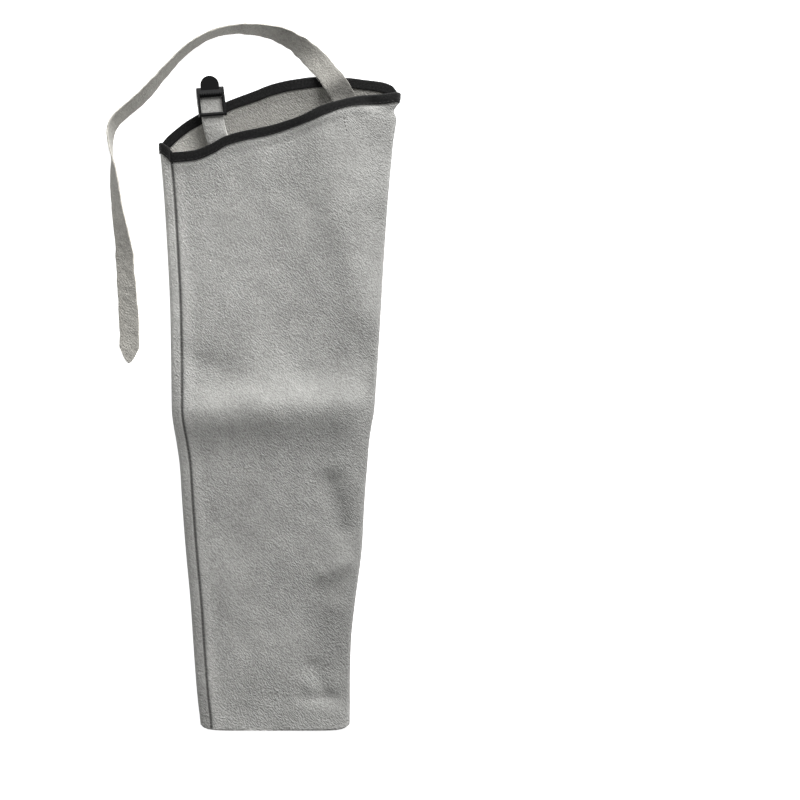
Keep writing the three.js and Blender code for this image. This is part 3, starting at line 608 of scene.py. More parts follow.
@dataclass(frozen=True)
class SplitSuede:
    """Split cowhide, chrome tanned and buffed on its flesh side: matt, with a short brushed nap.

    The nap lies in short slanting streaks that catch the light on one flank, over a soft mottle of
    tighter and looser hide, with a few pale specks of fibre. It is coarser towards the cuff, where
    the hide was split nearer the belly.
    """

    name: str = "split leather suede"
    light: str = "bdbdba"
    dark: str = "8b8a87"
    speck: str = "f2f1ee"
    streak: float = 1.25 * MM
    streak_length: float = 1.9
    streak_turn: float = -46.0
    grain: float = 0.85 * MM
    grain_share: float = 0.7
    mottle: float = 40 * MM
    mottle_share: float = 0.45
    darkest_at: float = 0.7
    lightest_at: float = 1.45
    patch: float = 80 * MM
    patch_soft: float = 0.38
    patch_firm: float = 0.62
    soft_relief: float = 0.55
    relief: float = 1.4 * MM
    coarse_from: float = -150 * MM
    coarse_to: float = -245 * MM
    coarse_gain: float = 1.5
    fleck: float = 9 * MM
    fleck_size: float = 0.055
    fleck_share: float = 0.85
    roughness: float = 0.93
    sheen: float = 0.12
    specular: float = 0.25

    def nap(self, tree: bpy.types.NodeTree, place: bpy.types.NodeSocket) -> bpy.types.NodeSocket:
        """Makes the nap: slanting streaks with a finer grain over them.

        Args:
            tree: The material's node tree.
            place: The place on the hide.

        Returns:
            The nap's height.
        """
        turn = (0, 0, math.radians(self.streak_turn))
        brushed = add_node(
            tree, "ShaderNodeMapping",
            {"Vector": place, "Rotation": turn, "Scale": (self.streak_length, 1, 1)},
            vector_type="TEXTURE",
        )
        streaks = add_node(
            tree, "ShaderNodeTexNoise",
            {"Vector": brushed, "Scale": 1 / self.streak, "Detail": 1.0, "Roughness": 0.5,
             "Distortion": 0.3},
        )
        grain = add_node(
            tree, "ShaderNodeTexNoise",
            {"Vector": place, "Scale": 1 / self.grain, "Detail": 2.0, "Roughness": 0.6},
        )
        return add_node(
            tree, "ShaderNodeMath", {0: grain, 1: self.grain_share, 2: streaks}, operation="MULTIPLY_ADD"
        )

    def colour(self, tree: bpy.types.NodeTree, place: bpy.types.NodeSocket,
               nap: bpy.types.NodeSocket) -> bpy.types.NodeSocket:
        """Makes the hide's colour: darker between the fibres, with pale specks, times the tint.

        Args:
            tree: The material's node tree.
            place: The place on the hide.
            nap: The nap's height.

        Returns:
            The colour.
        """
        mottle = add_node(
            tree, "ShaderNodeTexNoise",
            {"Vector": place, "Scale": 1 / self.mottle, "Detail": 4.0, "Roughness": 0.6},
        )
        shade = add_node(
            tree, "ShaderNodeMath", {0: mottle, 1: self.mottle_share, 2: nap}, operation="MULTIPLY_ADD"
        )
        share = add_node(
            tree, "ShaderNodeMapRange",
            {"Value": shade, "From Min": self.darkest_at, "From Max": self.lightest_at},
        )
        hide = add_node(
            tree, "ShaderNodeMix",
            {0: share, 6: linear(self.dark), 7: linear(self.light)}, 2, data_type="RGBA",
        )
        distance = add_node(
            tree, "ShaderNodeTexVoronoi", {"Vector": place, "Scale": 1 / self.fleck}, "Distance"
        )
        cell = distance.node.outputs["Color"]
        near = add_node(tree, "ShaderNodeMath", {0: distance, 1: self.fleck_size}, operation="LESS_THAN")
        some = add_node(tree, "ShaderNodeMath", {0: cell, 1: self.fleck_share}, operation="GREATER_THAN")
        fleck = add_node(tree, "ShaderNodeMath", {0: near, 1: some}, operation="MULTIPLY")
        flecked = add_node(
            tree, "ShaderNodeMix", {0: fleck, 6: hide, 7: linear(self.speck)}, 2, data_type="RGBA"
        )
        tint = add_node(tree, "ShaderNodeAttribute", out="Color", attribute_name="tint")
        return add_node(
            tree, "ShaderNodeMix",
            {0: 1.0, 6: flecked, 7: tint}, 2, data_type="RGBA", blend_type="MULTIPLY",
        )

    def material(self) -> bpy.types.Material:
        """Builds the material.

        Returns:
            The suede, tinted by the mesh's own tint attribute.
        """
        material, tree = new_material(self.name)
        place = add_node(tree, "ShaderNodeTexCoord", out="Object")
        nap = self.nap(tree, place)
        patch = add_node(
            tree, "ShaderNodeTexNoise", {"Vector": place, "Scale": 1 / self.patch, "Detail": 1.0}
        )
        strength = add_node(
            tree, "ShaderNodeMapRange",
            {"Value": patch, "From Min": self.patch_soft, "From Max": self.patch_firm,
             "To Min": self.soft_relief, "To Max": 1.0},
        )
        lengthwise = add_node(tree, "ShaderNodeSeparateXYZ", {"Vector": place}, "Y")
        depth = add_node(
            tree, "ShaderNodeMapRange",
            {"Value": lengthwise, "From Min": self.coarse_from, "From Max": self.coarse_to,
             "To Min": self.relief, "To Max": self.relief * self.coarse_gain},
            interpolation_type="SMOOTHSTEP",
        )
        bump = add_node(
            tree, "ShaderNodeBump", {"Height": nap, "Strength": strength, "Distance": depth}
        )
        surface = add_node(
            tree, "ShaderNodeBsdfPrincipled",
            {"Base Color": self.colour(tree, place, nap), "Roughness": self.roughness, "Normal": bump,
             "Sheen Weight": self.sheen, "Sheen Roughness": 0.6, "Specular IOR Level": self.specular},
        )
        add_node(tree, "ShaderNodeOutputMaterial", {"Surface": surface})
        return material


@dataclass(frozen=True)
class WovenTape:
    """Woven polyester bias tape, dyed black: threads cross at right angles, dusted with pale lint.

    The real threads are 0.4 mm apart, too fine to show, so they are drawn 1.3 mm apart.
    """

    name: str = "woven bias tape"
    dark: str = "090909"
    light: str = "252525"
    pitch: float = 1.3 * MM
    weave_share: float = 0.45
    lint: float = 1.6 * MM
    lint_from: float = 0.45
    lint_full: float = 0.8
    relief: float = 0.3 * MM
    roughness: float = 0.8
    sheen: float = 0.08
    specular: float = 0.18

    def material(self) -> bpy.types.Material:
        """Builds the material.

        Returns:
            The tape, its threads following the mesh's tape map.
        """
        material, tree = new_material(self.name)
        place = add_node(tree, "ShaderNodeUVMap", uv_map="tape")
        threads = [
            add_node(
                tree, "ShaderNodeTexWave",
                {"Vector": place, "Scale": BANDS / self.pitch, "Distortion": 0.8, "Detail": 1.0,
                 "Detail Scale": 1.5},
                1, bands_direction=direction,
            )
            for direction in ("X", "Y")
        ]
        weave = add_node(tree, "ShaderNodeMath", {0: threads[0], 1: threads[1]}, operation="MULTIPLY")
        lint = add_node(
            tree, "ShaderNodeTexNoise", {"Vector": place, "Scale": 1 / self.lint, "Detail": 3.0}
        )
        dust_and_groove_shade = add_node(
            tree, "ShaderNodeMapRange",
            {"Value": lint, "From Min": self.lint_from, "From Max": self.lint_full},
        )
        share = add_node(
            tree, "ShaderNodeMath", {0: weave, 1: self.weave_share, 2: dust_and_groove_shade}, operation="MULTIPLY_ADD"
        )
        colour = add_node(
            tree, "ShaderNodeMix",
            {0: share, 6: linear(self.dark), 7: linear(self.light)}, 2, data_type="RGBA",
        )
        bump = add_node(
            tree, "ShaderNodeBump", {"Height": weave, "Strength": 0.8, "Distance": self.relief}
        )
        surface = add_node(
            tree, "ShaderNodeBsdfPrincipled",
            {"Base Color": colour, "Roughness": self.roughness, "Normal": bump,
             "Sheen Weight": self.sheen, "Sheen Roughness": 0.5, "Specular IOR Level": self.specular},
        )
        add_node(tree, "ShaderNodeOutputMaterial", {"Surface": surface})
        return material


@dataclass(frozen=True)
class MouldedAcetal:
    """Black acetal, injection moulded: satin, with a faint skin and soft highlights on its edges."""

    name: str = "moulded acetal"
    colour: str = "0b0b0c"
    skin: float = 0.8 * MM
    relief: float = 0.05 * MM
    roughness: float = 0.4
    smoother: float = 0.06
    rougher: float = 0.1
    specular: float = 0.16

    def material(self) -> bpy.types.Material:
        """Builds the material."""
        material, tree = new_material(self.name)
        place = add_node(tree, "ShaderNodeTexCoord", out="Object")
        skin = add_node(
            tree, "ShaderNodeTexNoise", {"Vector": place, "Scale": 1 / self.skin, "Detail": 3.0}
        )
        bump = add_node(
            tree, "ShaderNodeBump", {"Height": skin, "Strength": 0.6, "Distance": self.relief}
        )
        wear = add_node(
            tree, "ShaderNodeMapRange",
            {"Value": skin, "To Min": self.roughness - self.smoother,
             "To Max": self.roughness + self.rougher},
        )
        surface = add_node(
            tree, "ShaderNodeBsdfPrincipled",
            {"Base Color": linear(self.colour), "Roughness": wear, "Specular IOR Level": self.specular,
             "Normal": bump},
        )
        add_node(tree, "ShaderNodeOutputMaterial", {"Surface": surface})
        return material


@dataclass(frozen=True)
class SewingThread:
    """Twisted polyester sewing thread: a matt strand with a fine slanting twist."""

    name: str
    colour: str
    twist: float = 0.5 * MM
    relief: float = 0.1 * MM
    roughness: float = 0.7

    def material(self) -> bpy.types.Material:
        """Builds the material."""
        material, tree = new_material(self.name)
        place = add_node(tree, "ShaderNodeTexCoord", out="Object")
        twist = add_node(
            tree, "ShaderNodeTexWave",
            {"Vector": place, "Scale": BANDS / self.twist}, 1, bands_direction="DIAGONAL",
        )
        bump = add_node(
            tree, "ShaderNodeBump", {"Height": twist, "Strength": 0.5, "Distance": self.relief}
        )
        surface = add_node(
            tree, "ShaderNodeBsdfPrincipled",
            {"Base Color": linear(self.colour), "Roughness": self.roughness, "Normal": bump},
        )
        add_node(tree, "ShaderNodeOutputMaterial", {"Surface": surface})
        return material


def add_object(name: str, data: bpy.types.ID) -> bpy.types.Object:
    """Puts an object with its mesh, light or camera into the scene."""
    made = bpy.data.objects.new(name, data)
    bpy.context.scene.collection.objects.link(made)
    return made


def place_piece(piece: bpy.types.Object, materials: Sequence[bpy.types.Material],
                node: str | None = None) -> None:
    """Dresses a piece and ties it to the part.

    Args:
        piece: The piece's object.
        materials: Its materials, in the order of its faces' numbers.
        node: The CAD node that the piece stands for, if any.
    """
    for material in materials:
        piece.data.materials.append(material)
    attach(piece, "root")
    if node:
        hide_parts(node)
    LOG.info("%s: %d faces", piece.name, len(piece.data.polygons))


def mesh_object(name: str, points: np.ndarray, faces: np.ndarray | Sequence,
                numbers: np.ndarray | None = None) -> bpy.types.Object:
    """Makes a smooth-shaded mesh object in the scene.

    Args:
        name: The piece's name.
        points: The vertices.
        faces: The faces' vertex numbers.
        numbers: A material number for each face.

    Returns:
        The object.
    """
    mesh = bpy.data.meshes.new(name)
    mesh.from_pydata(points.reshape(-1, 3).tolist(), [], [tuple(f) for f in faces])
    mesh.polygons.foreach_set("use_smooth", [True] * len(mesh.polygons))
    if numbers is not None:
        mesh.polygons.foreach_set("material_index", numbers.astype(np.int32))
    mesh.update()
    return add_object(name, mesh)


def ring_faces(rings: int, count: int, joined: bool) -> np.ndarray:
    """Numbers the faces between closed rings of points.

    Args:
        rings: How many rings there are.
        count: How many points a ring has.
        joined: Whether the last ring joins the first.

    Returns:
        Four vertex numbers a face, ring by ring.
    """
    spans = rings if joined else rings - 1
    here = (np.arange(spans) * count)[:, None]
    onward = ((np.arange(spans) + 1) % rings * count)[:, None]
    j = np.arange(count)[None, :]
    k = (j + 1) % count
    return np.stack([here + j, here + k, onward + k, onward + j], axis=-1).reshape(-1, 4)


def face_out(points: np.ndarray, faces: np.ndarray) -> np.ndarray:
    """Turns a closed surface's faces to point outwards.

    Args:
        points: The vertices.
        faces: Four vertex numbers a face, all turned the same way.

    Returns:
        The faces, reversed if they pointed in.
    """
    a, b, c, d = (points.reshape(-1, 3)[faces[:, i]] for i in range(4))
    volume = (a * np.cross(b, c)).sum() + (a * np.cross(c, d)).sum()
    return faces if volume > 0 else faces[:, ::-1]


def run_along(line: np.ndarray) -> np.ndarray:
    """Returns the length from a line's first point to each of its points."""
    return np.concatenate([[0], np.cumsum(np.linalg.norm(np.diff(line, axis=0), axis=1))])


def tint_mesh(piece: bpy.types.Object, tint: np.ndarray) -> None:
    """Stores how the hide's colour is tinted at each vertex.

    Args:
        piece: The object.
        tint: Red, green and blue factors for each vertex.
    """
    attribute = piece.data.attributes.new("tint", "FLOAT_COLOR", "POINT")
    alpha = np.ones((len(piece.data.vertices), 1))
    colours = np.hstack([tint.reshape(-1, 3), alpha]).astype(np.float32)
    attribute.data.foreach_set("color", colours.ravel())


@dataclass
class SleeveBody:
    """The sleeve itself: one hide wrapped into a tapered tube."""

    form: SleeveForm
    seam_columns: int = 34
    near_columns: int = 150
    far_columns: int = 46
    body_rows: int = 330
    last_share: float = 0.93
    rim_rows: int = 26
    rim_legs: float = 2.9
    inside_rows: int = 70
    inside_rim_rows: int = 8
    cut_edge_wobble: float = 0.35 * MM
    # Small swells: wavelength and height in millimetres, stretch and turn of their grain
    swells: tuple[tuple[float, float, float, float], ...] = (
        (90, 0.45, 2.0, -62),
        (34, 0.12, 1.8, -55),
        (13, 0.05, 1.4, -45),
        (6, 0.03, 1.3, -42),
    )
    # Where the swells die out: in tape legs below the rim, and in seam strips from the side
    swells_from_rim: tuple[float, float] = (1, 1.8)
    swells_from_seam: tuple[float, float] = (1.3, 2.5)
    # Uneven dye: strength, wavelength in millimetres and stretch
    dyes: tuple[tuple[float, float, float], ...] = ((0.03, 45, 1.5), (0.02, 16, 1.4))
    dye_turn: float = -45
    # Below the half fold the hide is painted darker, a painted shade for the lower half tilting away from
    # the light
    shaded_from: float = 0.49
    shade_run: float = 12 * MM
    painted_fold_shade: float = 0.09
    # Across the seam strip: a painted highlight beside it and painted shade in its groove
    painted_light: tuple[float, float, float] = (0.2, 1.75, 0.55)
    dust_and_groove_shade: tuple[float, float, float] = (-0.78, 1.08, 0.12)
    strip_fades: tuple[float, float] = (1.0, 0.85)
    # The strip is paler towards the mouth, and the hide is paler towards the cuff
    strip_tone: tuple[float, float] = (0.97, 1.24)
    strip_tone_along: tuple[float, float] = (0.35, 0.85)
    cuff_paleness: float = 0.22
    cuff_paleness_along: tuple[float, float] = (0.24, 0.0)
    # The near panel has painted light to the left at the mouth, and painted shade along its right side
    # away from the mouth
    mouth_along: tuple[float, float] = (0.45, 0.8)
    mouth_light_slope: float = 0.11
    right_side_shade: float = 0.12
    right_side_shade_across: tuple[float, float] = (0.35, 0.75)
    # The inside has painted light towards the sewn side and painted shade over the rest, and is warmer
    inside_light_and_shade: tuple[float, float] = (1.45, 0.76)
    inside_across: tuple[float, float] = (-0.88, -0.28)
    inside_warmth: tuple[float, float, float] = (1.0, 0.982, 0.945)
    palest: float = 1.6

    def stations(self) -> np.ndarray:
        """Returns the columns round the sleeve, closest together at the seam and the side folds."""
        seam = np.linspace(0, self.form.seam_share, self.seam_columns, endpoint=False)
        near = np.linspace(self.form.seam_share, 1, self.near_columns, endpoint=False)
        far = 1 + (1 - np.cos(np.linspace(0, np.pi, self.far_columns, endpoint=False))) / 2
        return np.concatenate([seam, near, far])

    def rows(self, stations: np.ndarray, body: int, rim: int) -> np.ndarray:
        """Lays the rows from the cuff to the rim.

        Args:
            stations: The columns.
            body: How many rows follow the sleeve's length.
            rim: How many rows follow the rim.

        Returns:
            The rows' places along the sleeve, one line a row.
        """
        shares = np.linspace(0, self.last_share, body)
        lengthwise = [self.form.row_y(share, stations) for share in shares]
        drop = self.form.leg_drop(stations)
        legs = np.linspace(self.rim_legs, 0, rim)
        return np.array(lengthwise + [self.form.rim_y(stations) - leg * drop for leg in legs])

    def hide_relief(self, y: np.ndarray, stations: np.ndarray) -> np.ndarray:
        """Gives the small swells of the hide, which die out at the floor, the seam and the tape.

        Args:
            y: Places along the sleeve.
            stations: Stations round it.

        Returns:
            How far the hide is raised.
        """
        form = self.form
        x = form.station_x(stations, y)
        total = sum(
            height * MM * Ripple(Seed.HIDE_SWELLS + i, wavelength * MM, stretch, turn)(x, y)
            for i, (wavelength, height, stretch, turn) in enumerate(self.swells)
        )
        legs_down = (form.rim_y(stations) - y) / form.leg_drop(stations)
        near = np.where(stations < 1, ramp(form.strip(x, y), *self.swells_from_seam), 0)
        right = form.outline(y)[1]
        side = ramp(x, right, right - 2 * form.side_fold_radius)
        return total * ramp(legs_down, *self.swells_from_rim) * near * side

    def build(self) -> bpy.types.Object:
        """Builds the sleeve's mesh.

        Returns:
            The sleeve as one closed wall with a cut edge at the cuff.
        """
        form = self.form
        stations = self.stations()
        outer_y = self.rows(stations, self.body_rows, self.rim_rows)
        inner_y = self.rows(stations, self.inside_rows, self.inside_rim_rows)[::-1]
        grid = np.broadcast_to(stations, outer_y.shape)
        outside = form.wall_point(grid, outer_y, -self.hide_relief(outer_y, grid), True)
        grid = np.broadcast_to(stations, inner_y.shape)
        depth = form.wall(grid, inner_y) - self.hide_relief(inner_y, grid)
        inside = form.wall_point(grid, inner_y, depth, False)
        points = np.concatenate([outside, inside, self.cut_edge(stations, inner_y[-1])])
        faces = ring_faces(len(points), len(stations), True)
        spans = np.repeat(np.arange(len(points)), len(stations))
        numbers = np.where(spans < len(outside) - 1, Face.OUTSIDE.value, Face.INSIDE.value)
        numbers[spans >= len(outside) + len(inside) - 1] = Face.CUT_EDGE.value
        piece = mesh_object("suede_sleeve", points, face_out(points, faces), numbers)
        tint_mesh(piece, self.tint(points, len(outside)))
        return piece

    def cut_edge(self, stations: np.ndarray, cuff_y: np.ndarray) -> np.ndarray:
        """Makes the raw edge of the cuff.

        Args:
            stations: The columns.
            cuff_y: The cuff's place along the sleeve at each.

        Returns:
            The rings between the inside and the outside, standing a little proud and uneven.
        """
        draw = np.random.default_rng(Seed.CUFF_EDGE)
        rings = []
        for share in (0.75, 0.5, 0.25):
            round_off = 4 * share * (1 - share)
            proud = round_off * draw.uniform(0.2, 1.0, len(stations)) * self.cut_edge_wobble
            ring = self.form.wall_point(stations, cuff_y, self.form.wall(stations, cuff_y) * share, False)
            ring[:, 1] -= proud
            rings.append(ring)
        return np.array(rings)

    def tint(self, points: np.ndarray, outside: int) -> np.ndarray:
        """Gives the hide's tint, with painted light and shade: cooler and paler outside, warmer and
        darker inside the mouth.

        Args:
            points: The rings of points.
            outside: How many rings are outside.

        Returns:
            Red, green and blue factors for each point.
        """
        x = points[..., 0]
        y = points[..., 1]
        along = self.form.to_along(y)
        _, _, middle, half = self.form.outline(y)
        across = (x - middle) / half
        tone = 1.0 + sum(
            strength * Ripple(Seed.HIDE_DYE + i, wavelength * MM, stretch, self.dye_turn)(x, y)
            for i, (strength, wavelength, stretch) in enumerate(self.dyes)
        )
        # Painted shade: the hide below the half fold is darkened
        fold = self.form.to_y(self.shaded_from)
        tone *= 1 - self.painted_fold_shade * ramp(y, fold, fold - self.shade_run)
        strip = self.form.strip(x, y)
        # Painted highlight beside the groove and painted shade in it
        seam = 1.0
        for gain, place, width in (self.painted_light, self.dust_and_groove_shade):
            seam = seam * (1 + gain * hump(strip - place, width))
        # The strip is paler towards the mouth and the hide paler towards the cuff
        strip_tone = mix(*self.strip_tone, ramp(along, *self.strip_tone_along))
        cuff_paleness = 1 + self.cuff_paleness * ramp(along, *self.cuff_paleness_along)
        # Painted light to the left at the mouth, painted shade along the right side away from it
        at_mouth = ramp(along, *self.mouth_along)
        right_side_shade = self.right_side_shade * ramp(across, *self.right_side_shade_across) * (1 - at_mouth)
        lit = 1 - self.mouth_light_slope * across * at_mouth - right_side_shade
        outer = seam * mix(cuff_paleness, strip_tone, ramp(strip, *self.strip_fades)) * lit
        # Painted light at the inside's sewn side, painted shade over the rest
        inner = mix(*self.inside_light_and_shade, ramp(across, *self.inside_across))
        tint = np.repeat(tone[..., None], 3, axis=-1)
        tint[:outside] *= outer[:outside, :, None]
        tint[outside:] *= inner[outside:, :, None] * np.array(self.inside_warmth)
        return np.clip(tint, 0, self.palest)

    def dress(self, piece: bpy.types.Object) -> None:
        """Gives the sleeve its suede, outside, inside and on the cut edge."""
        outside = SplitSuede().material()
        inside = SplitSuede(name="split leather flesh side", grain=1.1 * MM).material()
        edge = SplitSuede(name="cut leather edge", light="d6d5d1", dark="a2a19d").material()
        place_piece(piece, [outside, inside, edge], "sleeve_body")


@dataclass
class MouthBinding:
    """The woven tape folded over the rim of the mouth."""

    form: SleeveForm
    columns: int = 560
    fine_stations: int = 4001
    leg_points: int = 9
    nose_points: int = 7
    nose_power: float = 0.6
    edge_wobble: float = 0.035
    wobble_wave: float = 0.25
    pulled_narrow: float = 0.17
    narrow_at: float = 0.56
    narrow_run: float = 0.2
    stitch_press: float = 0.3 * MM
    press_width: float = 0.09
    stitch_line: float = 0.8
    stitch_length: float = 3.0 * MM
    stitch_gap: float = 0.9 * MM
    stitched: tuple[float, float] = (0.05, 0.97)
    thread: float = 0.22 * MM
    sunk: float = 0.4

    def stations(self) -> np.ndarray:
        """Returns stations evenly spaced along the rim."""
        fine = np.linspace(0, 2, self.fine_stations)
        run = run_along(self.form.wall_point(fine, self.form.rim_y(fine), 0, True))
        return np.interp(np.linspace(0, run[-1], self.columns, endpoint=False), run, fine)

    def profile(self) -> list[tuple[float, float, float, float]]:
        """Lists the section's corners.

        Returns:
            For each, its share of a leg below the rim, its height past the rim, its depth, and the
            share of the wall that is added to the depth.
        """
        gap = self.form.gap
        out = gap + self.form.tape
        corners = []
        for share in np.linspace(1, 0, self.leg_points):
            press = self.stitch_press * hump(share - self.stitch_line, self.press_width)
            corners.append((share, 0.0, -out + press, 0.0))
        for turn in np.linspace(0, 1, self.nose_points + 2)[1:-1]:
            past = out * math.sin(math.pi * turn) ** self.nose_power
            corners.append((0.0, past, mix(-out, out, turn), turn))
        for share in np.linspace(0, 1, self.leg_points):
            corners.append((share, 0.0, out, 1.0))
        corners += [(1.0, 0.0, gap, 1.0), (0.0, gap, gap, 1.0)]
        return corners + [(0.0, gap, -gap, 0.0), (1.0, 0.0, -gap, 0.0)]

    def build(self) -> bpy.types.Object:
        """Builds the tape's mesh with its tape map.

        Returns:
            The binding as one closed ring.
        """
        form = self.form
        stations = self.stations()
        rim = form.rim_y(stations)
        wobble = Ripple(Seed.TAPE_EDGE, self.wobble_wave)(stations, 0 * stations)
        drop = form.leg_drop(stations) * (1 + self.edge_wobble * wobble)
        drop = drop * (1 - self.pulled_narrow * hump(stations - self.narrow_at, self.narrow_run))
        rings = []
        for leg, past, depth, wall in self.profile():
            y = rim + past - leg * drop
            whole = depth + wall * form.wall(stations, y)
            ring = form.wall_point(stations, np.minimum(y, rim), whole, True)
            ring[:, 1] = y
            rings.append(ring)
        points = np.array(rings)
        faces = face_out(points, ring_faces(len(points), len(stations), True))
        piece = mesh_object("woven_binding", points, faces)
        self.map_tape(piece, points)
        return piece

    def map_tape(self, piece: bpy.types.Object, points: np.ndarray) -> None:
        """Stores the place along and across the tape, in metres, as the tape map.

        Args:
            piece: The binding.
            points: Its rings of points.
        """
        along = run_along(points[0])
        across = run_along(points[:, 0])
        places = np.stack(np.broadcast_arrays(along[None, :], across[:, None]), axis=-1).reshape(-1, 2)
        corners = np.zeros(len(piece.data.loops), np.int32)
        piece.data.loops.foreach_get("vertex_index", corners)
        layer = piece.data.uv_layers.new(name="tape")
        layer.data.foreach_set("uv", places[corners].astype(np.float32).ravel())

    def stitches(self) -> bpy.types.Object:
        """Builds the row of stitches near the tape's lower edge.

        Returns:
            The stitches as one mesh.
        """
        form = self.form
        stations = self.stations()
        first, last = self.stitched
        stations = stations[(stations > first) & (stations < last)]
        y = form.rim_y(stations) - self.stitch_line * form.leg_drop(stations)
        depth = -(form.gap + form.tape - self.stitch_press) - self.sunk * self.thread
        line = form.wall_point(stations, y, depth, True)
        return sew("binding_stitches", line, self.stitch_length, self.stitch_gap, self.thread)

    def dress(self, piece: bpy.types.Object) -> None:
        """Gives the tape its weave and sews it on."""
        place_piece(piece, [WovenTape().material()], "mouth_binding")
        thread = SewingThread("black polyester thread", "2c2c2c").material()
        place_piece(self.stitches(), [thread])


def sew(name: str, line: np.ndarray, length: float, gap: float, radius: float) -> bpy.types.Object:
    """Lays a row of stitches along a line.

    Args:
        name: The piece's name.
        line: Points of the line.
        length: A stitch's length.
        gap: The gap between two stitches.
        radius: The thread's radius.

    Returns:
        The stitches as one mesh, each dipping into the leather at its ends.
    """
    run = run_along(line)
    first = np.arange(gap / 2, run[-1] - length, length + gap)
    starts, ends = (np.stack([np.interp(at, run, line[:, i]) for i in range(3)], axis=1)
                    for at in (first, first + length))
    dip = 1.6 * radius
    return strands(name, list(zip(starts, ends)), radius, dip)


def strands(name: str, ends: Sequence[tuple[np.ndarray, np.ndarray]], radius: float,
            dip: float) -> bpy.types.Object:
    """Makes short strands of thread.

    Args:
        name: The piece's name.
        ends: The two ends of each strand.
        radius: The thread's radius.
        dip: How far a strand's ends sink below its middle.

    Returns:
        The strands as one mesh.
    """
    sides = 6
    # A strand's rings: how far along it they are, and how thick it is there
    rings = ((0, 0.35), (0.12, 0.9), (0.35, 1), (0.65, 1), (0.88, 0.9), (1, 0.35))
    angles = np.arange(sides)[:, None] * 2 * np.pi / sides
    points = []
    faces = []
    for first, last in ends:
        along = (last - first) / np.linalg.norm(last - first)
        side = np.cross(along, (0, 0, 1))
        side /= np.linalg.norm(side)
        up = np.cross(side, along)
        base = len(points) * sides
        for share, width in rings:
            middle = first + (last - first) * share - up * dip * (2 * share - 1) ** 4
            points.append(middle + radius * width * (np.cos(angles) * side + np.sin(angles) * up))
        faces.extend((ring_faces(len(rings), sides, False) + base).tolist())
    return mesh_object(name, np.array(points), faces)


class RibbonPlace(NamedTuple):
    """A place along a flat ribbon: its centre, its directions, its width and the run to it."""

    centre: np.ndarray
    right: np.ndarray
    up: np.ndarray
    width: float
    run: float


def ribbon_frame(heading: float, pitch: float, bank: float) -> tuple[np.ndarray, np.ndarray, np.ndarray]:
    """Gives a flat ribbon's directions.

    Args:
        heading: Heading from +X towards +Y, in radians.
        pitch: Rise along the heading, in radians.
        bank: Roll about the ribbon's own line, in radians.

    Returns:
        The directions along it, to its right and up from it.
    """
    level = math.cos(pitch)
    along = Vector((math.cos(heading) * level, math.sin(heading) * level, math.sin(pitch)))
    right = Matrix.Rotation(-bank, 3, along) @ Vector((math.sin(heading), -math.cos(heading), 0))
    return np.array(along), np.array(right), np.array(right.cross(along))


def ribbon_section(half: float, thick: float, flat: int, turn: int) -> np.ndarray:
    """Gives the section of a flat leather ribbon with rounded edges.

    Args:
        half: Half the ribbon's width.
        thick: Half its thickness.
        flat: How many points lie on each flat face.
        turn: How many points lie on each rounded edge.

    Returns:
        Places to the right and up, round the section from the left of the lower face.
    """
    inner = max(half - 0.5 * thick, 0.2 * half)
    lower = [(r, -thick) for r in np.linspace(-inner, inner, flat)]
    angles = np.linspace(-np.pi / 2, np.pi / 2, turn + 2)[1:-1]
    right = [(inner + (half - inner) * math.cos(a), thick * math.sin(a)) for a in angles]
    upper = [(-r, thick) for r, _ in lower]
    left = [(-r, -u) for r, u in right]
    return np.array(lower + right + upper + left)


def ribbon_mesh(name: str, points: np.ndarray, flat: int, turn: int) -> bpy.types.Object:
    """Makes a leather ribbon with closed ends, its cut edges numbered apart from its two faces.

    Args:
        name: The piece's name.
        points: Its rings of points.
        flat: How many points lie on each flat face.
        turn: How many points lie on each rounded edge.

    Returns:
        The ribbon.
    """
    rings, count = points.shape[:2]
    faces = ring_faces(rings, count, False)
    outward = face_out(points, faces)
    first = list(range(count))
    last = [(rings - 1) * count + i for i in first]
    turned = bool((outward[0] != faces[0]).any())
    caps = [first, last[::-1]] if turned else [first[::-1], last]
    column = np.tile(np.arange(count), rings - 1)
    cut = ((column >= flat - 1) & (column < flat + turn)) | (column >= 2 * flat + turn - 1)
    numbers = np.where(np.append(cut, [True, True]), Face.CUT_EDGE.value, Face.OUTSIDE.value)
    return mesh_object(name, points, outward.tolist() + caps, numbers)


def dress_ribbon(piece: bpy.types.Object, kind: str, relief: float, node: str) -> None:
    """Gives a leather ribbon its suede and its pale cut edges.

    Args:
        piece: The ribbon.
        kind: What it is, for its materials' names.
        relief: How deep its nap is.
        node: The CAD node that it stands for.
    """
    face = SplitSuede(name=f"{kind} leather suede", relief=relief).material()
    edge = SplitSuede(name=f"cut {kind} edge", light="efeeea", dark="b9b8b3", relief=0.3 * MM).material()
    place_piece(piece, [face, face, edge], node)


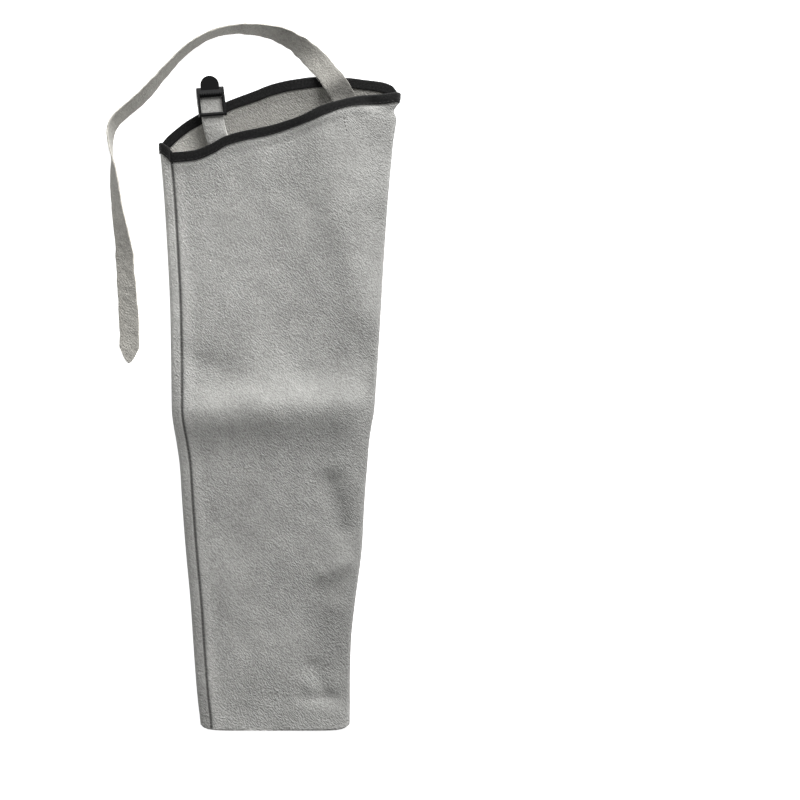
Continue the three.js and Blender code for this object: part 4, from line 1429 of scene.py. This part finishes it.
@dataclass
class LongStrap:
    """The tie strap, sewn inside the near panel, arching over the table and turned over once."""

    form: SleeveForm
    length: float = 520 * MM
    width: float = 18 * MM
    base_width: float = 20.5 * MM
    thickness: float = 1.6 * MM
    inset: float = 36 * MM
    across: float = 0.555
    heading: float = 119.0
    descent: float = 70 * MM
    tip: float = 14.4 * MM
    tip_power: float = 0.6
    tip_end: float = 0.03
    arch_per_mouth: float = 1.46
    steps: int = 432
    face_points: int = 11
    edge_points: int = 4
    edge_wobble: float = 0.25 * MM
    swell: float = 0.16 * MM
    floor_gap: float = 0.05 * MM
    tone: float = 0.95
    dye: float = 0.04
    # Painted shade at the strap's base, where it leaves the mouth
    base_shade: float = 0.62
    base_shade_run: tuple[float, float] = (27 * MM, 12 * MM)
    # Painted light where the tail lies flat, and slight painted shade before it
    painted_light: tuple[float, float] = (0.96, 1.1)
    painted_light_along: tuple[float, float] = (0.66, 0.76)
    warmth: tuple[float, float, float] = (1.0, 0.975, 0.93)

    def route(self) -> list[RibbonPlace]:
        """Follows the strap from its sewn end to its tip.

        Returns:
            A place for each step.
        """
        form = self.form
        arch = self.arch_per_mouth * form.mouth_width
        tail = self.length - self.inset - arch
        run = [b.run * arch for b in ARCH_BENDS] + [arch + b.run * tail for b in TAIL_BENDS[1:]]
        bends = ARCH_BENDS + TAIL_BENDS[1:]
        heading_at = table_curve(run, [b.heading for b in bends])
        tilt_at = table_curve(run, [b.tilt for b in bends])
        rim = form.rim_place(self.across)
        inward = math.radians(self.heading)
        depth = form.sewn_depth + self.thickness / 2
        rim_height, _, rim_bank = form.seat(rim, inward, depth)
        step = self.length / self.steps
        place = rim.copy()
        before = 0.0
        route = []
        for i in range(self.steps + 1):
            s = i * step - self.inset
            width = float(mix(self.base_width, self.width, smooth(i * step / arch)))
            if s <= 0:
                inside = rim + s * np.array([math.cos(inward), math.sin(inward)])
                height, rise, bank = form.seat(inside, inward, depth)
                _, right, up = ribbon_frame(inward, math.atan(rise), math.atan(bank))
                route.append(RibbonPlace(np.array([*inside, height]), right, up, width, i * step))
                continue
            heading = math.radians(float(heading_at((s + before) / 2)))
            place += (s - before) * np.array([math.cos(heading), math.sin(heading)])
            before = s
            held = 1 - float(smooth(s / self.descent))
            tilt = math.radians(float(tilt_at(s))) + held * math.atan(rim_bank)
            on_floor = width / 2 * math.sin(tilt) + self.thickness / 2 * abs(math.cos(tilt))
            height = float(mix(abs(on_floor), rim_height, held))
            _, right, up = ribbon_frame(math.radians(float(heading_at(s))), 0, tilt)
            route.append(RibbonPlace(np.array([*place, height]), right, up, width, i * step))
        return route

    def build(self) -> bpy.types.Object:
        """Builds the strap's mesh.

        Returns:
            The strap, with rounded cut edges and a pointed tip.
        """
        edge = Ripple(Seed.STRAP_EDGE, 14 * MM)
        swell = Ripple(Seed.STRAP_SWELL, 9 * MM, 1.4, 30)
        rings = []
        for place in self.route():
            from_tip = (self.length - place.run) / self.tip
            point = max(self.tip_end, min(1.0, from_tip) ** self.tip_power)
            half = (place.width / 2 + self.edge_wobble * float(edge(place.run, 0))) * point
            section = ribbon_section(half, self.thickness / 2, self.face_points, self.edge_points)
            grain = self.swell * swell(place.run, section[:, 0]) * np.sign(section[:, 1])
            # The swells are weaker towards the cut edges
            grain *= 1 - np.abs(section[:, 0]) / half * 0.6
            offset = section[:, :1] * place.right + (section[:, 1:] + grain[:, None]) * place.up
            rings.append(place.centre + offset)
        points = np.array(rings)
        points[..., 2] = np.maximum(points[..., 2], self.floor_gap)
        piece = ribbon_mesh("suede_tie_strap", points, self.face_points, self.edge_points)
        tint_mesh(piece, self.tint(points))
        return piece

    def tint(self, points: np.ndarray) -> np.ndarray:
        """Gives the strap's tint: a little warmer than the sleeve, with painted shade where it leaves the
        mouth.

        Args:
            points: The rings of points.

        Returns:
            Red, green and blue factors for each point, with painted light where it lies flat.
        """
        run = np.linspace(0, self.length, len(points))[:, None] + np.zeros((1, points.shape[1]))
        tone = self.tone + self.dye * Ripple(Seed.STRAP_DYE, 40 * MM)(run, points[..., 0])
        # Painted shade at the base, where the strap leaves the mouth
        tone *= 1 - self.base_shade * ramp(run - self.inset, *self.base_shade_run)
        # Painted light where the tail lies flat
        tone *= mix(*self.painted_light, ramp(run / self.length, *self.painted_light_along))
        return tone[..., None] * np.array(self.warmth)

    def dress(self, piece: bpy.types.Object) -> None:
        """Gives the strap its suede."""
        dress_ribbon(piece, "strap", 1.1 * MM, "long_strap")


@dataclass
class BuckleTab:
    """The leather tab folded round the buckle's bar, and the frame that the buckle sits in."""

    form: SleeveForm
    width: float = 19.4 * MM
    inset: float = 32 * MM
    free: float = 23 * MM
    across: float = -0.49
    heading: float = 107.0
    turn: float = -10.0
    bend_run: float = 10 * MM
    eye_sag: float = 0.6 * MM
    buckle_length: float = 36 * MM
    buckle_roll: float = 12.0
    buckle_tip_height: float = 13.5 * MM
    bar_length: float = 3.5 * MM
    bar_height: float = 2.5 * MM
    lip_start: float = 17.2 * MM
    frame_steps: int = 80
    sewn_steps: int = 12
    free_steps: int = 40
    bar_steps: int = 18
    eye_steps: int = 18
    face_points: int = 9
    edge_points: int = 3
    swell: float = 0.1 * MM
    # The tab's hide is darker than the sleeve's, and a little warmer
    warmth: tuple[float, float, float] = (0.75, 0.747, 0.74)
    frames: list = field(default_factory=list)

    def __post_init__(self) -> None:
        """Follows the tab's free run once, from the rim to the buckle."""
        form = self.form
        self.rim = form.rim_place(self.across)
        height, rise, bank = form.seat(self.rim, math.radians(self.heading), form.sewn_depth)
        reach = self.free + self.buckle_length - self.bend_run / 2
        fall = -math.asin((height - self.buckle_tip_height) / reach)
        step = self.free / self.frame_steps
        place = np.array([*self.rim, height])
        for i in range(self.frame_steps + 1):
            turned = float(smooth(i * step / self.free))
            heading = math.radians(self.heading + self.turn * turned)
            pitch = float(mix(math.atan(rise), fall, smooth(i * step / self.bend_run)))
            roll = mix(math.atan(bank), -math.radians(self.buckle_roll), turned)
            along, right, up = ribbon_frame(heading, pitch, roll)
            if i:
                place = place + along * step
            self.frames.append((place, along, right, up))

    def at(self, v: float) -> tuple[np.ndarray, np.ndarray, np.ndarray, np.ndarray]:
        """Gives the tab's frame at a place along its line.

        Args:
            v: Distance from the rim, negative inside the sleeve.

        Returns:
            The place, and the directions along, right and up.
        """
        if v <= 0:
            inward = math.radians(self.heading)
            inside = self.rim + v * np.array([math.cos(inward), math.sin(inward)])
            height, rise, bank = self.form.seat(inside, inward, self.form.sewn_depth)
            directions = ribbon_frame(inward, math.atan(rise), math.atan(bank))
            return np.array([*inside, height]), *directions
        last = len(self.frames) - 1
        i = min(last, round(v / self.free * last))
        place, along, right, up = self.frames[i]
        return place + along * (v - i * self.free / last), along, right, up

    def fold_line(self) -> list[tuple[float, float]]:
        """Lists the folded tab's side view.

        Returns:
            Places along the tab's line and below its top face, round the buckle's bar.
        """
        gap = self.form.gap
        half = self.form.leather / 2
        eye_half = self.bar_height / 2 + gap
        bar = self.free + self.lip_start - self.bar_length / 2
        radius = eye_half + half
        nose = bar + self.bar_length / 2 - eye_half + 2 * gap
        parting = (self.free + bar - self.bar_length / 2) / 2
        together = half + self.form.leather + gap
        under_bar = half + 2 * radius
        sewn = list(np.linspace(-self.inset, 0, self.sewn_steps, endpoint=False))
        sewn += list(np.linspace(0, self.free, self.free_steps))
        over_bar = list(np.linspace(self.free, nose, self.bar_steps)[1:-1])
        line = [(v, -half) for v in sewn + over_bar]
        for angle in np.linspace(math.pi / 2, -math.pi / 2, self.eye_steps):
            line.append((nose + radius * math.cos(angle), -half - radius + radius * math.sin(angle)))
        line.append((bar - self.bar_length / 2, -under_bar))
        line.append((parting, -(under_bar + together) / 2 - self.eye_sag))
        return line + [(v, -together) for v in reversed(sewn)]

    def build(self) -> bpy.types.Object:
        """Builds the tab's mesh.

        Returns:
            The tab as one closed, folded ribbon.
        """
        line = self.fold_line()
        thick = self.form.leather / 2
        section = ribbon_section(self.width / 2, thick, self.face_points, self.edge_points)
        swell = Ripple(Seed.TAB_SWELL, 8 * MM)
        rings = []
        for i, (v, w) in enumerate(line):
            before = line[max(0, i - 1)]
            after = line[min(len(line) - 1, i + 1)]
            run = np.array([after[0] - before[0], after[1] - before[1]])
            run /= np.linalg.norm(run)
            grain = self.swell * swell(i * MM, section[:, 0])
            ring = []
            for (right_by, up_by), lift in zip(section, grain):
                depth = up_by + lift * np.sign(up_by)
                place, _, right, up = self.at(v - depth * run[1])
                ring.append(place + right * right_by + up * (w + depth * run[0]))
            rings.append(ring)
        piece = ribbon_mesh("suede_buckle_tab", np.array(rings), self.face_points, self.edge_points)
        tint_mesh(piece, np.tile(self.warmth, (len(piece.data.vertices), 1)))
        return piece

    def dress(self, piece: bpy.types.Object) -> None:
        """Gives the tab its suede."""
        dress_ribbon(piece, "tab", 1.0 * MM, "buckle_tab")


def join_loops(shape: bmesh.types.BMesh, first: Sequence, last: Sequence) -> None:
    """Closes a plate between two loops of corners.

    Args:
        shape: The mesh being made.
        first: The corners of one face.
        last: The corners of the face opposite, in the same order.
    """
    shape.faces.new(first)
    shape.faces.new(last[::-1])
    for i in range(len(first)):
        j = (i + 1) % len(first)
        shape.faces.new((first[j], first[i], last[i], last[j]))


def prism(shape: bmesh.types.BMesh, side_view: Sequence[tuple[float, float]], low: float,
          high: float) -> None:
    """Adds a side view extruded across the buckle.

    Args:
        shape: The mesh being made.
        side_view: Places along the buckle and up from the tab's top face.
        low: The left end across.
        high: The right end across.
    """
    left, right = ([shape.verts.new((end, along, up)) for along, up in side_view] for end in (low, high))
    join_loops(shape, left, right)


def bar_view(along: Sequence[float], up: Sequence[float], cut: float) -> list[tuple[float, float]]:
    """Returns the side view of a bar with its four corners cut."""
    back, front = along
    low, high = up
    left = [(back, low + cut), (back, high - cut), (back + cut, high)]
    right = [(front - cut, high), (front, high - cut), (front, low + cut)]
    return left + right + [(front - cut, low), (back + cut, low)]


@dataclass
class LadderBuckle:
    """The moulded ladder-lock buckle."""

    tab: BuckleTab
    rail_length: float = 26 * MM
    rail_width: float = 2.3 * MM
    slot_play: float = 0.3 * MM
    end_bar: float = 3 * MM
    bar_edge: float = 0.5 * MM
    end_bar_edge: float = 0.7 * MM
    lip_rise: float = 1 * MM
    lip_thickness: float = 3 * MM
    lip_edge: float = 1.4 * MM
    thumb_radius: float = 8.3 * MM
    thumb_thickness: float = 2.2 * MM
    thumb_lift: float = 9.0
    thumb_root: float = 2.5 * MM
    thumb_below_lip: float = 0.4 * MM
    thumb_points: int = 33
    tooth_pitch: float = 2.2 * MM
    tooth_count: int = 9
    tooth_share: float = 0.54
    edge_round: float = 0.28 * MM
    sharp_from: float = 25.0

    def thumb(self, shape: bmesh.types.BMesh, lip_top: float) -> None:
        """Adds the half-round thumb tab past the lip, turned up at its end.

        Args:
            shape: The mesh being made.
            lip_top: The height of the lip's top.
        """
        root = self.rail_length - self.thumb_root
        middle = self.tab.buckle_length - self.thumb_radius
        radius = self.thumb_radius
        arc = np.linspace(0, math.pi, self.thumb_points)
        rounded = [(radius * math.cos(a), middle + radius * math.sin(a)) for a in arc]
        plan = [(radius, root), *rounded, (-radius, root)]
        lift = math.radians(self.thumb_lift)
        height = lip_top - self.thumb_thickness - self.thumb_below_lip

        def loop(up: float) -> list[bmesh.types.BMVert]:
            """Adds the plate's outline, turned up about its root.

            Args:
                up: The height over the plate's lower face.

            Returns:
                The outline's vertices in their order.
            """
            return [
                shape.verts.new((
                    x,
                    root + (y - root) * math.cos(lift) - up * math.sin(lift),
                    height + (y - root) * math.sin(lift) + up * math.cos(lift),
                ))
                for x, y in plan
            ]

        lower = loop(0)
        join_loops(shape, loop(self.thumb_thickness), lower)

    def side_views(self) -> tuple[list, list, list]:
        """Gives the outlines of the moulding as seen from its side.

        Returns:
            The rail, the lip and one tooth, as places along the buckle and up from the tab's top face.
        """
        gap = self.tab.form.gap
        start = self.tab.lip_start
        edge = self.lip_edge
        rise = self.lip_rise
        end = self.rail_length
        bar_top = -self.tab.form.leather - gap
        bar_bottom = bar_top - self.tab.bar_height
        bar_start = start - self.tab.bar_length
        rail_top = gap + self.end_bar
        lip_top = rail_top + rise
        lip_bottom = lip_top - self.lip_thickness
        rail = [
            (0, bar_top + 2 * gap),
            (0, rail_top - self.end_bar_edge),
            (self.end_bar_edge, rail_top),
            (start, lip_top),
            (end - rise, lip_top - self.end_bar_edge),
            (end, lip_bottom + rise),
            (end - edge, bar_top),
            (start + self.tab.bar_length / 2, bar_bottom),
            (bar_start - rise, bar_bottom),
            (bar_start / 2, bar_top),
        ]
        lip = [
            (start, gap + rise),
            (start, lip_top - 1.6 * edge),
            (start + 1.8 * edge, lip_top - 0.2 * edge),
            (end - edge, lip_top - self.end_bar_edge),
            (end, lip_bottom + rise),
            (end - edge, lip_bottom),
            (start + self.lip_thickness, lip_bottom),
            (start + edge + rise, gap),
            (start + rise, gap),
        ]
        proud = 0.2 * MM
        tooth = [
            (start - proud, lip_top - 2.2 * edge),
            (start - proud, lip_top - 1.1 * edge),
            (start + edge, lip_top + proud / 2),
            (start + 2.6 * edge, lip_top - proud / 2),
            (start + 2.6 * edge, lip_top - 1.2 * edge),
            (start + edge, lip_top - 2.2 * edge),
        ]
        return rail, lip, tooth

    def build(self) -> bpy.types.Object:
        """Builds the buckle's mesh.

        Returns:
            The buckle, its edges rounded, in its place on the tab.
        """
        tab = self.tab
        gap = tab.form.gap
        slot = tab.width / 2 + self.slot_play
        side = slot + self.rail_width
        inner = slot + self.rail_width / 2
        bar_top = -tab.form.leather - gap
        rail_top = gap + self.end_bar
        rail, lip, tooth = self.side_views()
        end_bar = bar_view((0, self.end_bar), (gap, rail_top), self.end_bar_edge)
        bar_run = (tab.lip_start - tab.bar_length, tab.lip_start)
        middle_bar = bar_view(bar_run, (bar_top - tab.bar_height, bar_top), self.bar_edge)
        shape = bmesh.new()
        prism(shape, rail, -side, -slot)
        prism(shape, rail, slot, side)
        for view in (end_bar, middle_bar, lip):
            prism(shape, view, -inner, inner)
        half = self.tooth_pitch * self.tooth_share / 2
        for i in range(self.tooth_count):
            middle = (i - (self.tooth_count - 1) / 2) * self.tooth_pitch
            prism(shape, tooth, middle - half, middle + half)
        self.thumb(shape, rail_top + self.lip_rise)
        bmesh.ops.recalc_face_normals(shape, faces=shape.faces)
        sharp = [e for e in shape.edges if e.calc_face_angle(0) > math.radians(self.sharp_from)]
        bmesh.ops.bevel(shape, geom=sharp, offset=self.edge_round, segments=3, affect="EDGES",
                        clamp_overlap=True, profile=0.6)
        mesh = bpy.data.meshes.new("moulded_buckle")
        shape.to_mesh(mesh)
        shape.free()
        mesh.polygons.foreach_set("use_smooth", [True] * len(mesh.polygons))
        place, along, right, up = tab.at(tab.free)
        turn = Matrix((right, along, up)).transposed().to_4x4()
        mesh.transform(Matrix.Translation(place) @ turn)
        piece = add_object("moulded_buckle", mesh)
        piece.modifiers.new("soft corners", "WEIGHTED_NORMAL")
        return piece

    def dress(self, piece: bpy.types.Object) -> None:
        """Gives the buckle its moulded finish."""
        place_piece(piece, [MouldedAcetal().material()], "ladder_buckle")


@dataclass
class SewnDetails:
    """Stitches of the seam and of the strap's sewn end, and loose fibres."""

    form: SleeveForm
    strap: LongStrap
    seam_stitch: float = 3.4 * MM
    seam_reach: float = 1.1 * MM
    seam_slant: float = 0.5 * MM
    seam_from: float = 4 * MM
    seam_until: float = 0.893
    seam_above: float = 0.15 * MM
    thread: float = 0.26 * MM
    anchor_from: float = 15 * MM
    anchor_until: float = 29 * MM
    anchor_slant: float = 1.5 * MM
    anchor_stitch: float = 2.4 * MM
    anchor_gap: float = 0.9 * MM
    anchor_above: float = 0.05 * MM
    anchor_points: int = 60
    fibre: float = 0.9 * MM
    fibre_lengths: tuple[float, float] = (0.35, 1.5)
    fibre_spread: float = 0.55
    fibre_width: float = 0.16 * MM
    fibre_root: float = 0.2 * MM
    floor_gap: float = 0.05 * MM
    fibres_per_step: int = 3
    fibre_shift: float = 0.6 * MM
    cuff_fibres: int = 900
    tufts: int = 70
    tufts_between: tuple[float, float] = (0.1, 0.98)
    tuft_spread: float = 0.002
    tuft_fibres: int = 9
    tuft_legs: tuple[float, float] = (0.99, 1.06)
    tuft_root: float = 0.3 * MM

    def near_surface(self, x: np.ndarray, y: np.ndarray, above: float) -> np.ndarray:
        """Returns points a little above the near panel."""
        z = self.form.near_panel(x, y) + self.form.seam_relief(x, y) + above
        return np.stack([x, y, z], axis=-1)

    def seam_stitches(self) -> bpy.types.Object:
        """Builds the stitches that cross the groove beside the seam strip.

        Returns:
            The stitches as one mesh.
        """
        form = self.form
        ends = []
        for y in np.arange(form.to_y(0) + self.seam_from, form.to_y(self.seam_until), self.seam_stitch):
            middle = float(form.outline(y)[0]) + form.groove_middle * form.seam_width
            x = np.array([middle - self.seam_reach, middle + self.seam_reach])
            ends.append(tuple(self.near_surface(x, np.array([y, y + self.seam_slant]), self.seam_above)))
        return strands("seam_stitches", ends, self.thread, 0.5 * self.thread)

    def anchor_stitches(self) -> bpy.types.Object:
        """Builds the line of stitches through the near panel that holds the strap.

        Returns:
            The stitches as one mesh.
        """
        rim = self.form.rim_place(self.strap.across)
        x = rim[0] + np.linspace(-self.anchor_slant, self.anchor_slant, self.anchor_points)
        y = rim[1] - np.linspace(self.anchor_from, self.anchor_until, self.anchor_points)
        line = self.near_surface(x, y, self.anchor_above)
        return sew("strap_anchor_stitches", line, self.anchor_stitch, self.anchor_gap, self.thread)

    def fibres(self, name: str, roots: np.ndarray, outward: np.ndarray, seed: int) -> bpy.types.Object:
        """Sets loose fibres along cut edges.

        Args:
            name: The piece's name.
            roots: The fibres' roots.
            outward: The direction out of the leather at each root, or one for all.
            seed: Seed of the random draw.

        Returns:
            The fibres as one mesh of thin spikes.
        """
        draw = np.random.default_rng(seed)
        count = len(roots)
        direction = outward + draw.normal(0, self.fibre_spread, (count, 3))
        direction /= np.linalg.norm(direction, axis=1)[:, None]
        length = self.fibre * draw.uniform(*self.fibre_lengths, count)[:, None]
        side = np.cross(direction, draw.normal(0, 1, (count, 3)))
        side /= np.linalg.norm(side, axis=1)[:, None]
        half = side * self.fibre_width / 2
        start = roots - direction * self.fibre_root
        third = np.cross(side, direction) * self.fibre_width * 0.8
        points = np.stack([start - half, start + half, start + third, start + direction * length], axis=1)
        points[..., 2] = np.maximum(points[..., 2], self.floor_gap)
        corners = np.array([(0, 2, 1), (0, 1, 3), (1, 2, 3), (2, 0, 3)])
        faces = (np.arange(count)[:, None, None] * 4 + corners).reshape(-1, 3)
        piece = mesh_object(name, points, faces)
        tint_mesh(piece, np.ones((count * 4, 3)))
        return piece

    def edge_fibres(self) -> list[bpy.types.Object]:
        """Sets the fibres of the strap's edges and the cuff's.

        Returns:
            One piece for each of the two.
        """
        draw = np.random.default_rng(Seed.FIBRE_PLACES)
        roots = []
        outward = []
        for place in self.strap.route():
            if place.run <= self.strap.inset:
                continue
            for side in (-1, 1):
                for _ in range(self.fibres_per_step):
                    shift = self.fibre_shift * draw.uniform(-1, 1) * np.cross(place.up, place.right)
                    lift = draw.uniform(-0.5, 0.5) * self.strap.thickness * place.up
                    roots.append(place.centre + side * place.right * place.width / 2 + shift + lift)
                    outward.append(side * place.right)
        strap = self.fibres("strap_edge_fibres", np.array(roots), np.array(outward), Seed.STRAP_FIBRES)
        stations = draw.uniform(0, 2, self.cuff_fibres)
        depth = self.form.leather * draw.uniform(0, 1, self.cuff_fibres)
        roots = self.form.wall_point(stations, self.form.row_y(0, stations), depth, True)
        outward = np.array([0.0, -1.0, 0.0])
        return [strap, self.fibres("cuff_edge_fibres", roots, outward, Seed.CUFF_FIBRES)]

    def nap_fibres(self) -> bpy.types.Object:
        """Sets the tufts of nap that stand over the tape's lower edge.

        Returns:
            The tufts as one mesh.
        """
        form = self.form
        draw = np.random.default_rng(Seed.TUFT_PLACES)
        tufts = draw.uniform(*self.tufts_between, self.tufts)
        stations = np.concatenate([t + draw.normal(0, self.tuft_spread, self.tuft_fibres) for t in tufts])
        y = form.rim_y(stations) - form.leg_drop(stations) * draw.uniform(*self.tuft_legs, len(stations))
        roots = form.wall_point(stations, y, -self.tuft_root, True)
        return self.fibres("nap_tufts", roots, np.array([0.0, 0.7, 0.7]), Seed.TUFT_FIBRES)

    def dress(self) -> None:
        """Sews the details on and gives them their thread and fibre."""
        grey = SewingThread("twisted polyester thread", "72716d").material()
        dark = SewingThread("dark polyester thread", "5a5956").material()
        fibre = SplitSuede(name="loose suede fibre", light="e2e1dd", dark="a8a7a3").material()
        place_piece(self.seam_stitches(), [grey])
        place_piece(self.anchor_stitches(), [dark])
        for piece in self.edge_fibres() + [self.nap_fibres()]:
            place_piece(piece, [fibre])


@dataclass
class Studio:
    """The camera, the pale floor and the soft studio light."""

    eye: tuple[float, float, float] = (112.5 * MM, 10.35 * MM, 1.7)
    lens: float = 85.0
    sensor: float = 36.0
    sight: float = 20.0
    target: tuple[float, float, float] = (0.02, 0.02, 0.0)
    key_bearing: float = 70.0
    key_elevation: float = 27.0
    key_distance: float = 2.0
    key_size: float = 1.3
    key_power: float = 68.0
    fill_place: tuple[float, float, float] = (0.1, 0.3, 2.4)
    fill_size: float = 2.6
    fill_power: float = 8.0
    sky: float = 0.22
    floor_size: float = 8.0
    floor_drop: float = 0.1 * MM
    floor_colour: str = "f6f6f6"
    floor_glow: float = 0.8

    def camera(self) -> None:
        """Sets the camera straight above the floor."""
        data = bpy.data.cameras.new("studio camera")
        data.lens = self.lens
        data.sensor_width = self.sensor
        data.clip_end = self.sight
        camera = add_object("studio camera", data)
        camera.location = self.eye
        bpy.context.scene.camera = camera

    def area_light(self, name: str, place: Vector, size: float, power: float) -> None:
        """Adds a soft light that faces the sleeve.

        Args:
            name: The light's name.
            place: Where it hangs.
            size: The side of its square.
            power: Its power in watts.
        """
        data = bpy.data.lights.new(name, "AREA")
        data.size = size
        data.energy = power
        light = add_object(name, data)
        light.location = place
        light.rotation_euler = (Vector(self.target) - place).to_track_quat("-Z", "Y").to_euler()

    def lights(self) -> None:
        """Hangs the key light to the upper right and the fill above."""
        bearing = math.radians(self.key_bearing)
        elevation = math.radians(self.key_elevation)
        level = math.cos(elevation)
        reach = Vector((math.cos(bearing) * level, math.sin(bearing) * level, math.sin(elevation)))
        key_place = Vector(self.target) + reach * self.key_distance
        self.area_light("key light", key_place, self.key_size, self.key_power)
        self.area_light("fill light", Vector(self.fill_place), self.fill_size, self.fill_power)
        world = bpy.data.worlds.new("studio air")
        bpy.context.scene.world = world
        world.use_nodes = True
        background = world.node_tree.nodes["Background"]
        background.inputs["Color"].default_value = (1, 1, 1, 1)
        background.inputs["Strength"].default_value = self.sky
        bpy.context.scene.view_settings.view_transform = "Standard"

    def floor(self) -> None:
        """Lays the pale floor."""
        half = self.floor_size / 2
        corners = np.array([(-half, -half, 0), (half, -half, 0), (half, half, 0), (-half, half, 0)])
        corners[:, 2] = -self.floor_drop
        floor = mesh_object("studio_floor", corners, [(0, 1, 2, 3)])
        material, tree = new_material("pale studio floor")
        surface = add_node(
            tree, "ShaderNodeBsdfPrincipled",
            {"Base Color": linear(self.floor_colour), "Roughness": 0.9, "Emission Color": (1, 1, 1, 1),
             "Emission Strength": self.floor_glow},
        )
        add_node(tree, "ShaderNodeOutputMaterial", {"Surface": surface})
        floor.data.materials.append(material)


def main() -> None:
    """Builds the welding sleeve and its studio."""
    logging.basicConfig(level=logging.INFO, format="%(name)s: %(message)s")
    studio = Studio()
    studio.camera()
    studio.lights()
    studio.floor()
    form = SleeveForm()
    strap = LongStrap(form)
    tab = BuckleTab(form)
    for maker in (SleeveBody(form), MouthBinding(form), strap, tab, LadderBuckle(tab)):
        maker.dress(maker.build())
    SewnDetails(form, strap).dress()


if __name__ == "__main__":
    main()
